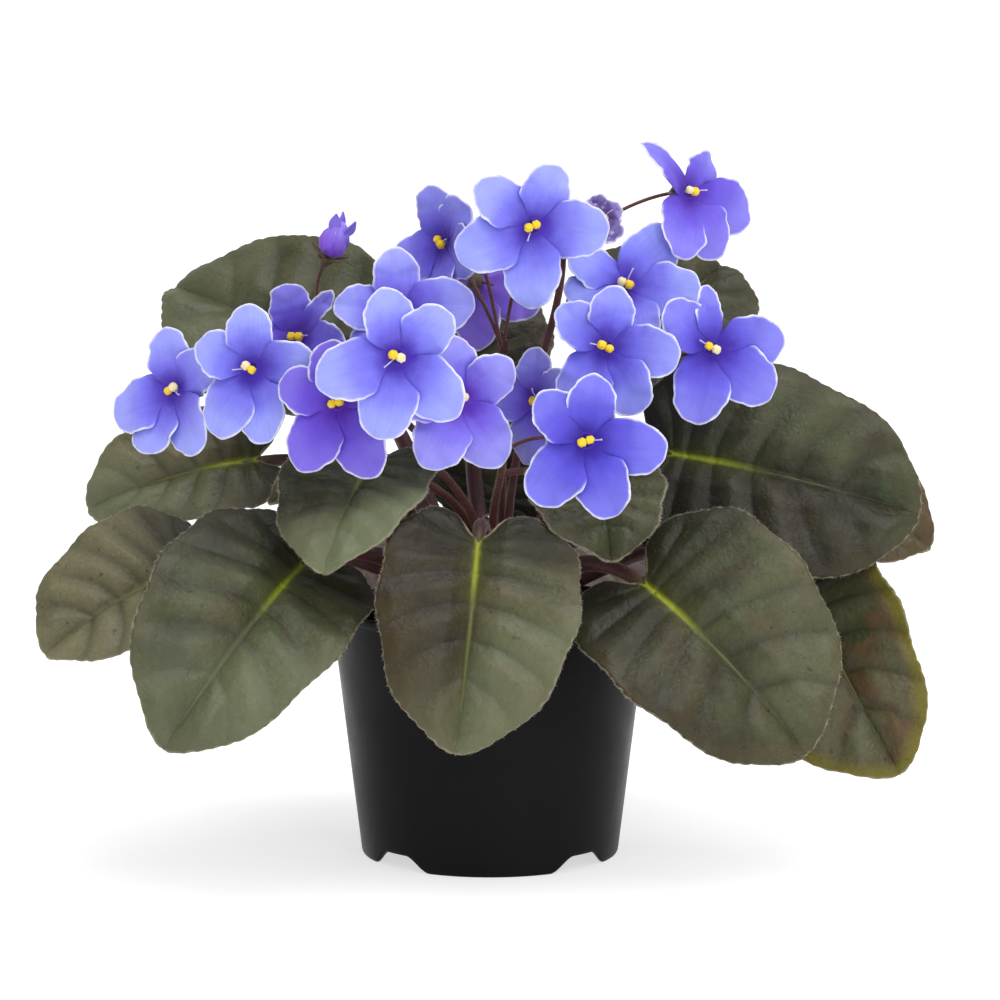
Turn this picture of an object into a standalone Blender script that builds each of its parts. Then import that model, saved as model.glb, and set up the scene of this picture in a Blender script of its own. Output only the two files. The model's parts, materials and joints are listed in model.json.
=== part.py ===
"""Potted african violet, standing on its nursery pot, in metres with +Z up.

The origin is on the pot's axis, on the surface that the pot's four feet stand on. The plant's front looks
along -Y. The pot holds potting mix, the crown stands in a hole in the mix, the leaves and the flower stalks
sit round the crown, and each stalk carries its blooms.
"""

import math
from collections import namedtuple

import bmesh
import bpy
from mathutils import Matrix, Vector

MM = 0.001

# Pot
POT_HEIGHT = 80.0 * MM
POT_TOP_RADIUS = 50.5 * MM
POT_BASE_RADIUS = 41.3 * MM
POT_WALL = 1.3 * MM
POT_RIM_LIP = 1.0 * MM
POT_RIM_DEPTH = 2.4 * MM
RIM_ROUNDING = (0.6, 0.35)
FOOT_BEVEL = 0.4 * MM
FOOT_BEVEL_HEIGHT = 1.5 * MM
POT_FLOOR_Z = 6.0 * MM
POT_FLOOR = 1.5 * MM
POT_STEPS = 32
FEET = 4
NOTCH_HEIGHT = 4.8 * MM
NOTCH_TOP_ANGLE = math.radians(5.5)
NOTCH_FOOT_ANGLE = math.radians(17.5)
DRAIN_HOLES = 5
DRAIN_RADIUS = 4.0 * MM
DRAIN_RING = 26.0 * MM

# Potting mix
SEAT_GAP = 0.3 * MM
WELD = 0.002 * MM
MIX_TOP_Z = 69.0 * MM
MIX_STEPS = 20
CROWN_HOLE_RADIUS = 8.3 * MM
CROWN_HOLE_DEPTH = 14.0 * MM

# Crown: the short stem that every leaf and stalk grows from
CROWN_RADIUS = 8.0 * MM
CROWN_TOP_Z = 97.0 * MM
CROWN_SIDES = 16
HEART_RADIUS = 3.4 * MM
HEART_HEIGHT = 13.0 * MM

# Leaves
BLADE_THICKNESS = 0.9 * MM
BLADE_ROWS = 10
BLADE_COLUMNS = 4
BLADE_WELD = 0.02 * MM
CRENATION = 0.7 * MM
MIDDLE_POWER = 2.1
WAVE_SHARE = 0.035
WAVE_TURNS = 9.0
WAVE_SEED_TURN = 2.0
WAVE_SIDE_TURN = 1.3
EDGE_FADE = 3.0
MARGIN_POWER = 6
FOLD_SHARE = 0.10
FOLD_STEEPNESS = 4.0
TOOTH_CENTRE = 0.4
RIM_POWER = 3
PETIOLE_RADIUS = 2.1 * MM
PETIOLE_STEPS = 4
PETIOLE_TAPER = 0.15
PETIOLE_SWELL = 0.35
PETIOLE_RISE = 0.9
PETIOLE_PULL = 0.40
ARCH_TURN = 4.0
PETIOLE_SEAT = 0.68
PETIOLE_SINK = 0.75
MIDRIB_SHARE = 0.42
MIDRIB_STEPS = 2
MIDRIB_END_DEPTH = 0.1 * MM
MIDRIB_WIDTHS = (0.8, 0.45)
# Half a blade's outline from the notch round to the tip: share of the length, share of the half width.
LOBE_OUTLINE = (
    (-0.040, 0.04),
    (-0.150, 0.28),
    (-0.130, 0.62),
    (0.000, 0.90),
    (0.190, 1.00),
    (0.420, 0.98),
    (0.650, 0.85),
    (0.880, 0.54),
    (1.000, 0.00),
)

# base and tip are millimetres, where the blade meets its petiole and where it ends. left and right are the
# widths of the two halves seen from the top with the tip up, roll turns the blade about its length, root is
# the height at which the petiole leaves the crown.
Leaf = namedtuple("Leaf", "name base tip left right arch cup roll root")
LEAVES = (
    Leaf("leaf_front", (-3.5, -57, 107), (-10, -86, 48), 32, 28.5, 0.10, 0.05, -15, 84),
    Leaf("leaf_front_left", (-58, -42, 98), (-96, -94, 51), 28, 34, 0.10, 0.04, -37, 80),
    Leaf("leaf_front_right", (48, -48, 93), (95.5, -72, 45), 38, 32, 0.10, 0.04, 50, 80),
    Leaf("leaf_far_left", (-94, -20, 95), (-137.5, -40, 70), 26, 28, 0.08, 0.03, -36, 76),
    Leaf("leaf_far_right", (98, -12, 88), (127, -45, 33.5), 26, 31, 0.08, 0.03, 55, 75),
    Leaf("leaf_right", (58, -8, 129), (135, -18, 111), 35, 38, 0.06, 0.02, 62, 90),
    Leaf("leaf_right_rear", (92, 30, 118), (144, 24, 95), 24, 25, 0.08, 0.03, 42, 83),
    Leaf("leaf_left", (-76, 12, 125), (-130, 13, 109), 19.5, 22, 0.08, 0.05, -56, 88),
    Leaf("leaf_rear_left", (-46, 28, 151), (-106, 66, 177), 31, 38.5, 0.05, 0.04, -38, 94),
    Leaf("leaf_rear", (-6, 34, 144), (-4, 66, 180), 24, 26, 0.05, 0.06, 0, 94),
    Leaf("leaf_rear_right", (46, 30, 157), (77.5, 66, 184.5), 29.5, 28.5, 0.05, 0.04, 36, 94),
    Leaf("leaf_rear_low", (2, 37, 106), (6, 66, 136), 23, 23, 0.08, 0.05, 4, 87),
    Leaf("leaf_inner_left", (-36, -33, 129), (-50, -66, 99), 23, 23, 0.10, 0.05, -8, 90),
    Leaf("leaf_inner_right", (32, -30, 126), (37, -54, 101), 20, 22, 0.10, 0.05, 5, 92),
    Leaf("leaf_low_left", (-45, -14, 120), (-69, -24, 115), 10, 10, 0.08, 0.05, -20, 94),
    Leaf("leaf_back_left", (-34, 27, 101), (-46, 84, 61), 22, 15, 0.12, 0.04, 0, 80),
    Leaf("leaf_back_right", (28, 38, 97), (53, 92, 47), 28, 25, 0.10, 0.04, 0, 78),
)

# Blooms
PETAL_THICKNESS = 0.65 * MM
PETAL_ROWS = 3
PETAL_COLUMNS = 2
PETAL_ROOT = 1.4 * MM
PETAL_ROOT_WIDTH = 0.10
PETAL_BELLY = 1.05
PETAL_FULLNESS = 0.75
PETAL_SHOULDER = 0.858
PETAL_TIP_ROUND = 0.07
PETAL_TWIST = 9.0
PETAL_CUP = 0.8 * MM
PETAL_NOD = 1.2 * MM
PETAL_FLATTENING = 0.35
UPPER_PETAL = (20.5 * MM, 15.0 * MM)
LOWER_PETAL = (25.0 * MM, 17.5 * MM)
TUBE_RADIUS = 2.6 * MM
TUBE_DEPTH = 3.2 * MM
TUBE_TOP = 0.45 * MM
TUBE_SIDES = 6
TUBE_NARROWING = 0.8
ANTHER_RADIUS = 1.5 * MM
ANTHER_LENGTH = 1.6 * MM
ANTHER_SPREAD = 0.75
ANTHER_FLATNESS = 0.9
BUD_RADIUS = 4.6 * MM
BUD_LENGTH = 12.0 * MM
BUD_FOLD = 0.16
BUD_LOBES = 5
BUD_TWIST = 1.2
BUD_TAPER = (1.15, 0.55)

# centre is in millimetres. yaw turns the face from -Y to +X and pitch lifts it, in degrees. clock holds the
# five petals' directions seen from the front, in degrees clockwise from the top, the short upper two first.
# odd lists petals that differ from the rest: which one, and its shares of the usual length and width.
Bloom = namedtuple("Bloom", "name spray centre yaw pitch size lift clock odd", defaults=((),))
BLOOMS = (
    Bloom(
        "bloom_01", "stalk_left",
        (-98, -22, 151), -32, 8, 1.0, 20, (-8, 56, 145, 202, 244), ((3, 0.94, 1.0),),
    ),
    Bloom("bloom_02", "stalk_left", (-73, -38, 159), -18, 8, 1.0, 16, (-68, -4, 90, 162, 208)),
    Bloom(
        "bloom_03", "stalk_left",
        (-60.5, -6, 166), -22, 16, 0.95, 30, (-14, 42, 110, 180, 250), ((1, 1.12, 0.5),),
    ),
    Bloom(
        "bloom_04", "stalk_front_left",
        (-46, -54, 150), -12, 5, 1.0, 22, (-70, -5, 80, 148, 208), ((3, 1.12, 1.0),),
    ),
    Bloom("bloom_05", "stalk_front_left", (-27.5, -67, 165), 0, 4, 1.04, 12, (-11, 50, 133, 192, 253)),
    Bloom("bloom_06", "stalk_front_left", (-28.5, -30, 176), 5, 14, 1.0, 16, (-85, -1, 84, 145, 210)),
    Bloom("bloom_07", "stalk_rear", (-14, -5, 196), -48, 6, 1.0, 28, (-14, 44, 104, 172, 240)),
    Bloom(
        "bloom_08", "stalk_rear",
        (13, -30, 202), 4, 6, 1.03, 12, (-51, 23, 94, 181, 248), ((0, 1.05, 1.0), (2, 0.95, 1.0)),
    ),
    Bloom("bloom_09", "stalk_front", (-9, -48, 150.5), 8, 6, 1.0, 18, (-9, 56, 150, 208, 278)),
    Bloom("bloom_10", "stalk_right", (42, -19, 183), 8, 30, 1.0, 16, (-100, -60, 42, 101, 175)),
    Bloom("bloom_11", "stalk_right", (35.5, -43, 166), -2, 8, 0.95, 14, (-50, 10, 98, 153, 211)),
    Bloom("bloom_12", "stalk_front", (29, -69, 140), -4, 4, 1.0, 12, (-48, 8, 98, 160, 221)),
    Bloom(
        "bloom_13", "stalk_right",
        (68, -36, 165), 8, 6, 1.0, 16, (-46, -4, 84, 130, 196), ((1, 1.0, 0.55), (2, 0.95, 1.0)),
    ),
    Bloom(
        "bloom_14", "stalk_right",
        (62, -5, 212), 40, 6, 1.0, 22, (-54, 44, 114, 160, 206),
        ((0, 1.35, 0.52), (1, 0.78, 0.95), (2, 1.08, 1.0)),
    ),
    Bloom("bloom_15", "stalk_front", (16, -20, 147), -40, -5, 0.9, 20, (0, 60, 130, 200, 280)),
    Bloom("bloom_16", "stalk_rear", (-4, 13, 182), 168, -12, 0.9, 20, (-30, 30, 100, 180, 250)),
)

# node is the point where a stalk's peduncle forks, in millimetres, and azimuth the side of the crown that it
# starts from, in degrees from +X. A side branch leaves the peduncle at a share of the way up.
Stalk = namedtuple("Stalk", "name node azimuth")
STALKS = (
    Stalk("stalk_left", (-45, -14, 140), 188),
    Stalk("stalk_front_left", (-22, -22, 138), 232),
    Stalk("stalk_front", (4, -36, 133), 276),
    Stalk("stalk_right", (23, -4, 192), 340),
    Stalk("stalk_rear", (4, -4, 162), 50),
)
Branch = namedtuple("Branch", "stalk share node blooms")
BRANCHES = (
    Branch("stalk_right", 0.4, (40, -14, 150), ("bloom_11", "bloom_13")),
    Branch("stalk_front", 0.6, (18, -8, 128), ("bloom_15",)),
)
STALK_RING = 6.0 * MM
PEDUNCLE_RADIUS = 1.5 * MM
PEDUNCLE_TAPER = 0.25
STALK_FOOT = 2.0 * MM
STALK_PULLS = (0.4, 0.25)
BRANCH_PULL = 0.35
BRANCH_SHARE = 0.75
FORK_SINK = 1.0 * MM
PEDICEL_RISE = 0.7
PEDICEL_PULLS = (0.35, 0.4)
PEDICEL_END = 0.6
CALYX_WIDTH = 1.1
CALYX_SIDES = 6
PEDICEL_RADIUS = 0.6 * MM
STALK_STEPS = 5
PEDICEL_STEPS = 4
CALYX_LENGTH = 4.5 * MM

BUD = Bloom("bud_purple", "stalk_left", (-49.5, -10, 195), 60, 60, 1.0, 0, ())
WILTED = Bloom("bloom_wilted", "stalk_right", (35, -7.5, 203.5), -12, 8, 0.53, 46, (-12, 64, 136, 208, 280))

# name: base colour, roughness, metallic value
FINISHES = {
    "black_plastic": ((0.012, 0.012, 0.013), 0.35, 0.0),
    "potting_mix": ((0.035, 0.022, 0.015), 0.95, 0.0),
    "leaf_green": ((0.055, 0.085, 0.035), 0.55, 0.0),
    "stem_red": ((0.20, 0.06, 0.045), 0.55, 0.0),
    "petal_violet": ((0.20, 0.17, 0.75), 0.5, 0.0),
    "bud_purple": ((0.15, 0.06, 0.45), 0.5, 0.0),
    "wilted_lilac": ((0.30, 0.22, 0.38), 0.7, 0.0),
    "anther_yellow": ((0.85, 0.62, 0.05), 0.5, 0.0),
}


def clear_scene():
    """Removes whatever objects the file opened with."""
    for obj in list(bpy.data.objects):
        bpy.data.objects.remove(obj, do_unlink=True)


def collection(name):
    made = bpy.data.collections.new(name)
    bpy.context.scene.collection.children.link(made)
    return made


def finish_of(name):
    """The Principled material of that name, made once."""
    found = bpy.data.materials.get(name)
    if found:
        return found
    colour, roughness, metallic = FINISHES[name]
    made = bpy.data.materials.new(name)
    made.use_nodes = True
    shader = made.node_tree.nodes["Principled BSDF"]
    shader.inputs["Base Color"].default_value = (*colour, 1.0)
    shader.inputs["Roughness"].default_value = roughness
    shader.inputs["Metallic"].default_value = metallic
    return made


def add_object(name, mesh, group, finish=None):
    obj = bpy.data.objects.new(name, mesh)
    group.objects.link(obj)
    if finish:
        mesh.materials.clear()
        mesh.materials.append(finish_of(finish))
    return obj


def baked(obj):
    """Swaps obj for a mesh object of its evaluated shape, with coincident points welded."""
    bpy.context.view_layer.update()
    graph = bpy.context.evaluated_depsgraph_get()
    mesh = bpy.data.meshes.new_from_object(obj.evaluated_get(graph))
    shape = bmesh.new()
    shape.from_mesh(mesh)
    bmesh.ops.remove_doubles(shape, verts=shape.verts, dist=WELD)
    bmesh.ops.recalc_face_normals(shape, faces=shape.faces)
    shape.to_mesh(mesh)
    shape.free()
    name, world, group = obj.name, obj.matrix_world.copy(), obj.users_collection[0]
    bpy.data.objects.remove(obj, do_unlink=True)
    made = bpy.data.objects.new(name, mesh)
    group.objects.link(made)
    made.matrix_world = world
    return made


def united(name, pieces, group, finish):
    """One closed object from overlapping closed pieces, which are removed."""
    first, *others = pieces
    if others:
        joined = collection(name + "_pieces")
        for piece in others:
            for owner in list(piece.users_collection):
                owner.objects.unlink(piece)
            joined.objects.link(piece)
        union = first.modifiers.new("union", "BOOLEAN")
        union.operation = "UNION"
        union.operand_type = "COLLECTION"
        union.collection = joined
        union.solver = "MANIFOLD"
        first = baked(first)
        for piece in others:
            bpy.data.objects.remove(piece, do_unlink=True)
        bpy.data.collections.remove(joined)
    first.name = name
    for owner in list(first.users_collection):
        owner.objects.unlink(first)
    group.objects.link(first)
    first.data.name = name
    first.data.materials.clear()
    first.data.materials.append(finish_of(finish))
    first.data.shade_smooth()
    first.data.set_sharp_from_angle(angle=math.radians(50))
    return first


def turned(name, profile, steps, group):
    """A solid turned about Z from (radius, height) points that run down its outer side."""
    mesh = bpy.data.meshes.new(name)
    points = [(radius, 0.0, height) for radius, height in profile]
    edges = [(i, i + 1) for i in range(len(points) - 1)]
    if profile[0][0] > 0.0:
        edges.append((len(points) - 1, 0))
    edges = [(i, j) for i, j in edges if profile[i][0] > 0.0 or profile[j][0] > 0.0]
    mesh.from_pydata(points, edges, [])
    obj = add_object(name, mesh, group)
    screw = obj.modifiers.new("screw", "SCREW")
    screw.steps = screw.render_steps = steps
    screw.use_merge_vertices = True
    screw.merge_threshold = WELD
    return baked(obj)


def tube(name, points, radii, group, rings=1):
    """A round tube through world points, with a radius at each, as a closed mesh."""
    curve = bpy.data.curves.new(name, "CURVE")
    curve.dimensions = "3D"
    curve.bevel_depth = 1.0
    curve.bevel_resolution = rings
    curve.use_fill_caps = True
    spline = curve.splines.new("POLY")
    spline.points.add(len(points) - 1)
    for target, point, radius in zip(spline.points, points, radii):
        target.co = (*point, 1.0)
        target.radius = radius
    return baked(add_object(name, curve, group))


def bezier(start, start_pull, end_pull, end, steps):
    """Points along a cubic curve."""
    found = []
    for i in range(steps + 1):
        t = i / steps
        s = 1.0 - t
        found.append(s**3 * start + 3 * s * s * t * start_pull + 3 * s * t * t * end_pull + t**3 * end)
    return found


def smooth_outline(t):
    """The half outline of a blade at t from 0 to 1: (share of length, share of half width). Past both ends it
    goes on along the other half, so that notch and tip are round."""
    last = len(LOBE_OUTLINE) - 1
    k = min(int(t * last), last - 1)
    f = t * last - k

    def margin(j):
        x, y = LOBE_OUTLINE[last - abs(last - abs(j))]
        return Vector((x, -y if j < 0 or j > last else y))

    a, b, c, d = (margin(j) for j in (k - 1, k, k + 1, k + 2))
    return 0.5 * ((2 * b) + (c - a) * f + (2 * a - 5 * b + 4 * c - d) * f**2 + (3 * b - a - 3 * c + d) * f**3)


def axes_of(direction, roll):
    """A blade's axes from its length direction: x along it, y to its left, z its upper side."""
    x = direction.normalized()
    up = (Vector((0, 0, 1)) - x * x.z).normalized()
    z = up * math.cos(roll) + x.cross(up) * math.sin(roll)
    return x, z.cross(x), z


def leaf_point(leaf, along, across, seed):
    """A point of a leaf's middle surface. along runs round the outline from the notch to the tip, across from
    -1 at the right margin to 1 at the left."""
    base, tip = Vector(leaf.base) * MM, Vector(leaf.tip) * MM
    length = (tip - base).length
    x_axis, y_axis, z_axis = axes_of(tip - base, math.radians(leaf.roll))
    edge_x, edge_y = smooth_outline(along)
    middle_x = along**MIDDLE_POWER
    t = abs(across)
    side = 1.0 if across >= 0 else -1.0
    half = (leaf.left if side > 0 else leaf.right) * MM
    fade = min(edge_y * EDGE_FADE, 1.0)
    tooth = CRENATION * math.cos(math.pi * along * BLADE_ROWS) * t**MARGIN_POWER * fade
    x = middle_x + (edge_x - middle_x) * t
    y = edge_y * t * side
    droop = leaf.arch * length * (1.0 - (2.0 * x - 1.0) ** 2)
    cup = leaf.cup * half * (y * y) * 2.0
    phase = WAVE_TURNS * along + WAVE_SEED_TURN * seed + WAVE_SIDE_TURN * side
    wave = WAVE_SHARE * length * math.sin(phase) * t**RIM_POWER * fade
    fold = FOLD_SHARE * half * min(abs(y) * FOLD_STEEPNESS, 1.0)
    out = Vector((edge_x - TOOTH_CENTRE, edge_y * side)).normalized() * tooth
    return (
        base
        + x_axis * (x * length + out.x)
        + y_axis * (y * half + out.y)
        + z_axis * (droop + cup + wave + fold)
    )


def sheet(name, rows, columns, place, thickness, group):
    """A thin closed blade: a grid bent by place(along, across), split into triangles and thickened."""
    shape = bmesh.new()
    bmesh.ops.create_grid(shape, x_segments=columns, y_segments=rows, size=1.0)
    for vert in shape.verts:
        vert.co = place((vert.co.y + 1.0) / 2.0, vert.co.x)
    bmesh.ops.remove_doubles(shape, verts=shape.verts, dist=BLADE_WELD)
    bmesh.ops.triangulate(shape, faces=shape.faces)
    mesh = bpy.data.meshes.new(name)
    shape.to_mesh(mesh)
    shape.free()
    obj = add_object(name, mesh, group)
    skin = obj.modifiers.new("thickness", "SOLIDIFY")
    skin.thickness = thickness
    skin.offset = 0.0
    return baked(obj)


def petiole_points(leaf):
    """The petiole's centre line from beside the crown to just under the blade's base."""
    base, tip = Vector(leaf.base) * MM, Vector(leaf.tip) * MM
    outward = Vector((base.x, base.y, 0)).normalized()
    root = outward * (CROWN_RADIUS + SEAT_GAP + PETIOLE_RADIUS * PETIOLE_SEAT)
    root.z = leaf.root * MM
    reach = (base - root).length
    x_axis, _, z_axis = axes_of(tip - base, math.radians(leaf.roll))
    heading = (x_axis + z_axis * ARCH_TURN * leaf.arch).normalized()
    rise = (outward + Vector((0, 0, PETIOLE_RISE))).normalized()
    pull = reach * PETIOLE_PULL
    path = bezier(root, root + rise * pull, base - heading * pull, base, PETIOLE_STEPS)
    sink = z_axis * PETIOLE_RADIUS * PETIOLE_SINK
    return [point - sink * (i / PETIOLE_STEPS) ** 4 for i, point in enumerate(path)]


def make_leaf(leaf, seed, group):
    """A blade joined to its petiole, which runs on under the blade as the midrib."""
    blade = sheet(
        leaf.name + "_blade",
        BLADE_ROWS,
        BLADE_COLUMNS,
        lambda along, across: leaf_point(leaf, along, across, seed),
        BLADE_THICKNESS,
        group,
    )
    _, _, z_axis = axes_of(Vector(leaf.tip) - Vector(leaf.base), math.radians(leaf.roll))
    path = petiole_points(leaf)
    shares = [i / PETIOLE_STEPS for i in range(len(path))]
    swells = [PETIOLE_SWELL * math.sin(math.pi * share) for share in shares]
    radii = [PETIOLE_RADIUS * (1.0 - PETIOLE_TAPER * s + swell) for s, swell in zip(shares, swells)]
    for i in range(1, MIDRIB_STEPS + 1):
        share = i / MIDRIB_STEPS
        along = (MIDRIB_SHARE * share) ** (1 / MIDDLE_POWER)
        depth = PETIOLE_RADIUS * PETIOLE_SINK * (1.0 - share) + MIDRIB_END_DEPTH * share
        path.append(leaf_point(leaf, along, 0.0, seed) - z_axis * depth)
        radii.append(PETIOLE_RADIUS * (MIDRIB_WIDTHS[0] - MIDRIB_WIDTHS[1] * share))
    stem = tube(leaf.name + "_petiole", path, radii, group)
    return united(leaf.name, [blade, stem], group, "leaf_green")


def facing(bloom):
    """A bloom's frame: z out of its face, y its top petal direction, placed at its centre."""
    yaw, pitch = math.radians(bloom.yaw), math.radians(bloom.pitch)
    z = Vector((math.sin(yaw) * math.cos(pitch), -math.cos(yaw) * math.cos(pitch), math.sin(pitch)))
    y = (Vector((0, 0, 1)) - z * z.z).normalized()
    x = y.cross(z)
    return Matrix.Translation(Vector(bloom.centre) * MM) @ Matrix((x, y, z)).transposed().to_4x4()


def petal_point(along, across, length, width, lift):
    """A point of a petal that runs along +X from the throat, with +Z out of the bloom's face. Each petal is
    twisted a little, so that one margin lies over the next petal and the other under the one before."""
    reach = PETAL_ROOT + (length - PETAL_ROOT) * (along - PETAL_TIP_ROUND * across**2 * along**4)
    belly = math.sin(math.pi * PETAL_SHOULDER * along**PETAL_BELLY) ** PETAL_FULLNESS
    y = 0.5 * width * across * (PETAL_ROOT_WIDTH + (1.0 - PETAL_ROOT_WIDTH) * belly)
    climb = max(reach - TUBE_RADIUS, 0.0)
    rise = climb * math.sin(lift) * (1.0 - PETAL_FLATTENING * along)
    cup = PETAL_CUP * across**2 * along - PETAL_NOD * along**3
    lean = y * math.tan(math.radians(PETAL_TWIST))
    return Vector((reach * math.cos(lift), y, rise + cup + lean))


def petals_of(bloom, group, holder):
    """The five petals as closed blades in the bloom's frame."""
    made = []
    odd = {which: shares for which, *shares in bloom.odd}
    for i, angle in enumerate(bloom.clock):
        long_share, wide_share = odd.get(i, (1.0, 1.0))
        length, width = UPPER_PETAL if i < 2 else LOWER_PETAL
        turn = Matrix.Rotation(math.radians(90.0 - angle), 4, "Z")
        petal = sheet(
            f"{bloom.name}_petal_{i}",
            PETAL_ROWS,
            PETAL_COLUMNS,
            lambda along, across: holder
            @ turn
            @ petal_point(
                along,
                across,
                length * long_share * bloom.size,
                width * wide_share * bloom.size,
                math.radians(bloom.lift),
            ),
            PETAL_THICKNESS,
            group,
        )
        made.append(petal)
    return made


def make_bloom(bloom, group, finish="petal_violet"):
    """An open bloom: five petals joined to a short tube."""
    holder = facing(bloom)
    throat = turned(
        bloom.name + "_tube",
        [
            (0.0, TUBE_TOP),
            (TUBE_RADIUS, TUBE_TOP),
            (TUBE_RADIUS * TUBE_NARROWING, -TUBE_DEPTH),
            (0.0, -TUBE_DEPTH),
        ],
        TUBE_SIDES,
        group,
    )
    throat.data.transform(holder)
    return united(bloom.name, [throat, *petals_of(bloom, group, holder)], group, finish)


def make_bud(bloom, group):
    """A closed bud: five petals folded round each other, as an ovoid with twisted lobes."""
    shape = bmesh.new()
    bmesh.ops.create_uvsphere(shape, u_segments=10, v_segments=6, radius=1.0)
    for vert in shape.verts:
        height = (vert.co.z + 1.0) / 2.0
        angle = math.atan2(vert.co.y, vert.co.x)
        swell = 1.0 + BUD_FOLD * math.cos(BUD_LOBES * (angle + BUD_TWIST * height))
        taper = BUD_TAPER[0] - BUD_TAPER[1] * height
        vert.co.x *= BUD_RADIUS * swell * taper
        vert.co.y *= BUD_RADIUS * swell * taper
        vert.co.z = BUD_LENGTH * height - TUBE_DEPTH
    shape.transform(facing(bloom))
    mesh = bpy.data.meshes.new(bloom.name)
    shape.to_mesh(mesh)
    shape.free()
    return united(bloom.name, [add_object(bloom.name, mesh, group)], group, "bud_purple")


def make_anthers(bloom, group):
    """The two joined pollen sacs that stand in the throat."""
    holder = facing(bloom)
    sacs = []
    for side in (-1, 1):
        shape = bmesh.new()
        bmesh.ops.create_icosphere(shape, subdivisions=1, radius=1.0)
        size = Matrix.Diagonal((ANTHER_RADIUS, ANTHER_RADIUS * ANTHER_FLATNESS, ANTHER_LENGTH, 1.0))
        height = TUBE_TOP + SEAT_GAP + ANTHER_LENGTH
        place = Matrix.Translation((side * ANTHER_RADIUS * ANTHER_SPREAD, 0, height))
        shape.transform(holder @ place @ size)
        mesh = bpy.data.meshes.new("sac")
        shape.to_mesh(mesh)
        shape.free()
        sacs.append(add_object(f"{bloom.name}_sac_{side}", mesh, group))
    return united(bloom.name + "_anthers", sacs, group, "anther_yellow")


def make_stalk(stalk, blooms, group):
    """A peduncle from the crown to its fork, with a pedicel and a calyx for each bloom."""
    node = Vector(stalk.node) * MM
    azimuth = math.radians(stalk.azimuth)
    foot = Vector((STALK_RING * math.cos(azimuth), STALK_RING * math.sin(azimuth), CROWN_TOP_Z + SEAT_GAP))
    root = foot + Vector((0, 0, STALK_FOOT))
    rise = (node - root).length
    low, high = (Vector((0, 0, pull * rise)) for pull in STALK_PULLS)
    path = bezier(root, root + low, node - high, node, STALK_STEPS)
    path.insert(0, foot)
    radii = [PEDUNCLE_RADIUS * (1.0 - PEDUNCLE_TAPER * i / STALK_STEPS) for i in range(len(path))]
    pieces = [tube(stalk.name + "_peduncle", path, radii, group)]
    forks = {}
    for branch in [b for b in BRANCHES if b.stalk == stalk.name]:
        start = path[1 + round(STALK_STEPS * branch.share)]
        end = Vector(branch.node) * MM
        pull = Vector((0, 0, BRANCH_PULL * (end - start).length))
        run = bezier(start, start + pull, end - pull, end, PEDICEL_STEPS)
        pieces.append(tube(stalk.name + "_branch", run, [PEDUNCLE_RADIUS * BRANCH_SHARE] * len(run), group))
        forks.update({name: end for name in branch.blooms})
    for bloom in blooms:
        holder = facing(bloom)
        back = holder.to_3x3() @ Vector((0, 0, -1))
        seat = holder @ Vector((0, 0, -TUBE_DEPTH - SEAT_GAP))
        start = forks.get(bloom.name, node) - Vector((0, 0, FORK_SINK))
        span = (seat - start).length
        leave = ((seat - start).normalized() + Vector((0, 0, PEDICEL_RISE))).normalized()
        run = bezier(
            start,
            start + leave * PEDICEL_PULLS[0] * span,
            seat + back * PEDICEL_PULLS[1] * span,
            seat + back * PEDICEL_END * CALYX_LENGTH,
            PEDICEL_STEPS,
        )
        pieces.append(tube(bloom.name + "_pedicel", run, [PEDICEL_RADIUS] * len(run), group))
        cup = turned(
            bloom.name + "_calyx",
            [
                (0.0, 0.0),
                (TUBE_RADIUS * CALYX_WIDTH, 0.0),
                (PEDICEL_RADIUS * CALYX_WIDTH, -CALYX_LENGTH),
                (0.0, -CALYX_LENGTH),
            ],
            CALYX_SIDES,
            group,
        )
        cup.data.transform(holder @ Matrix.Translation((0, 0, -TUBE_DEPTH - SEAT_GAP)))
        pieces.append(cup)
    return united(stalk.name, pieces, group, "stem_red")


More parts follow.
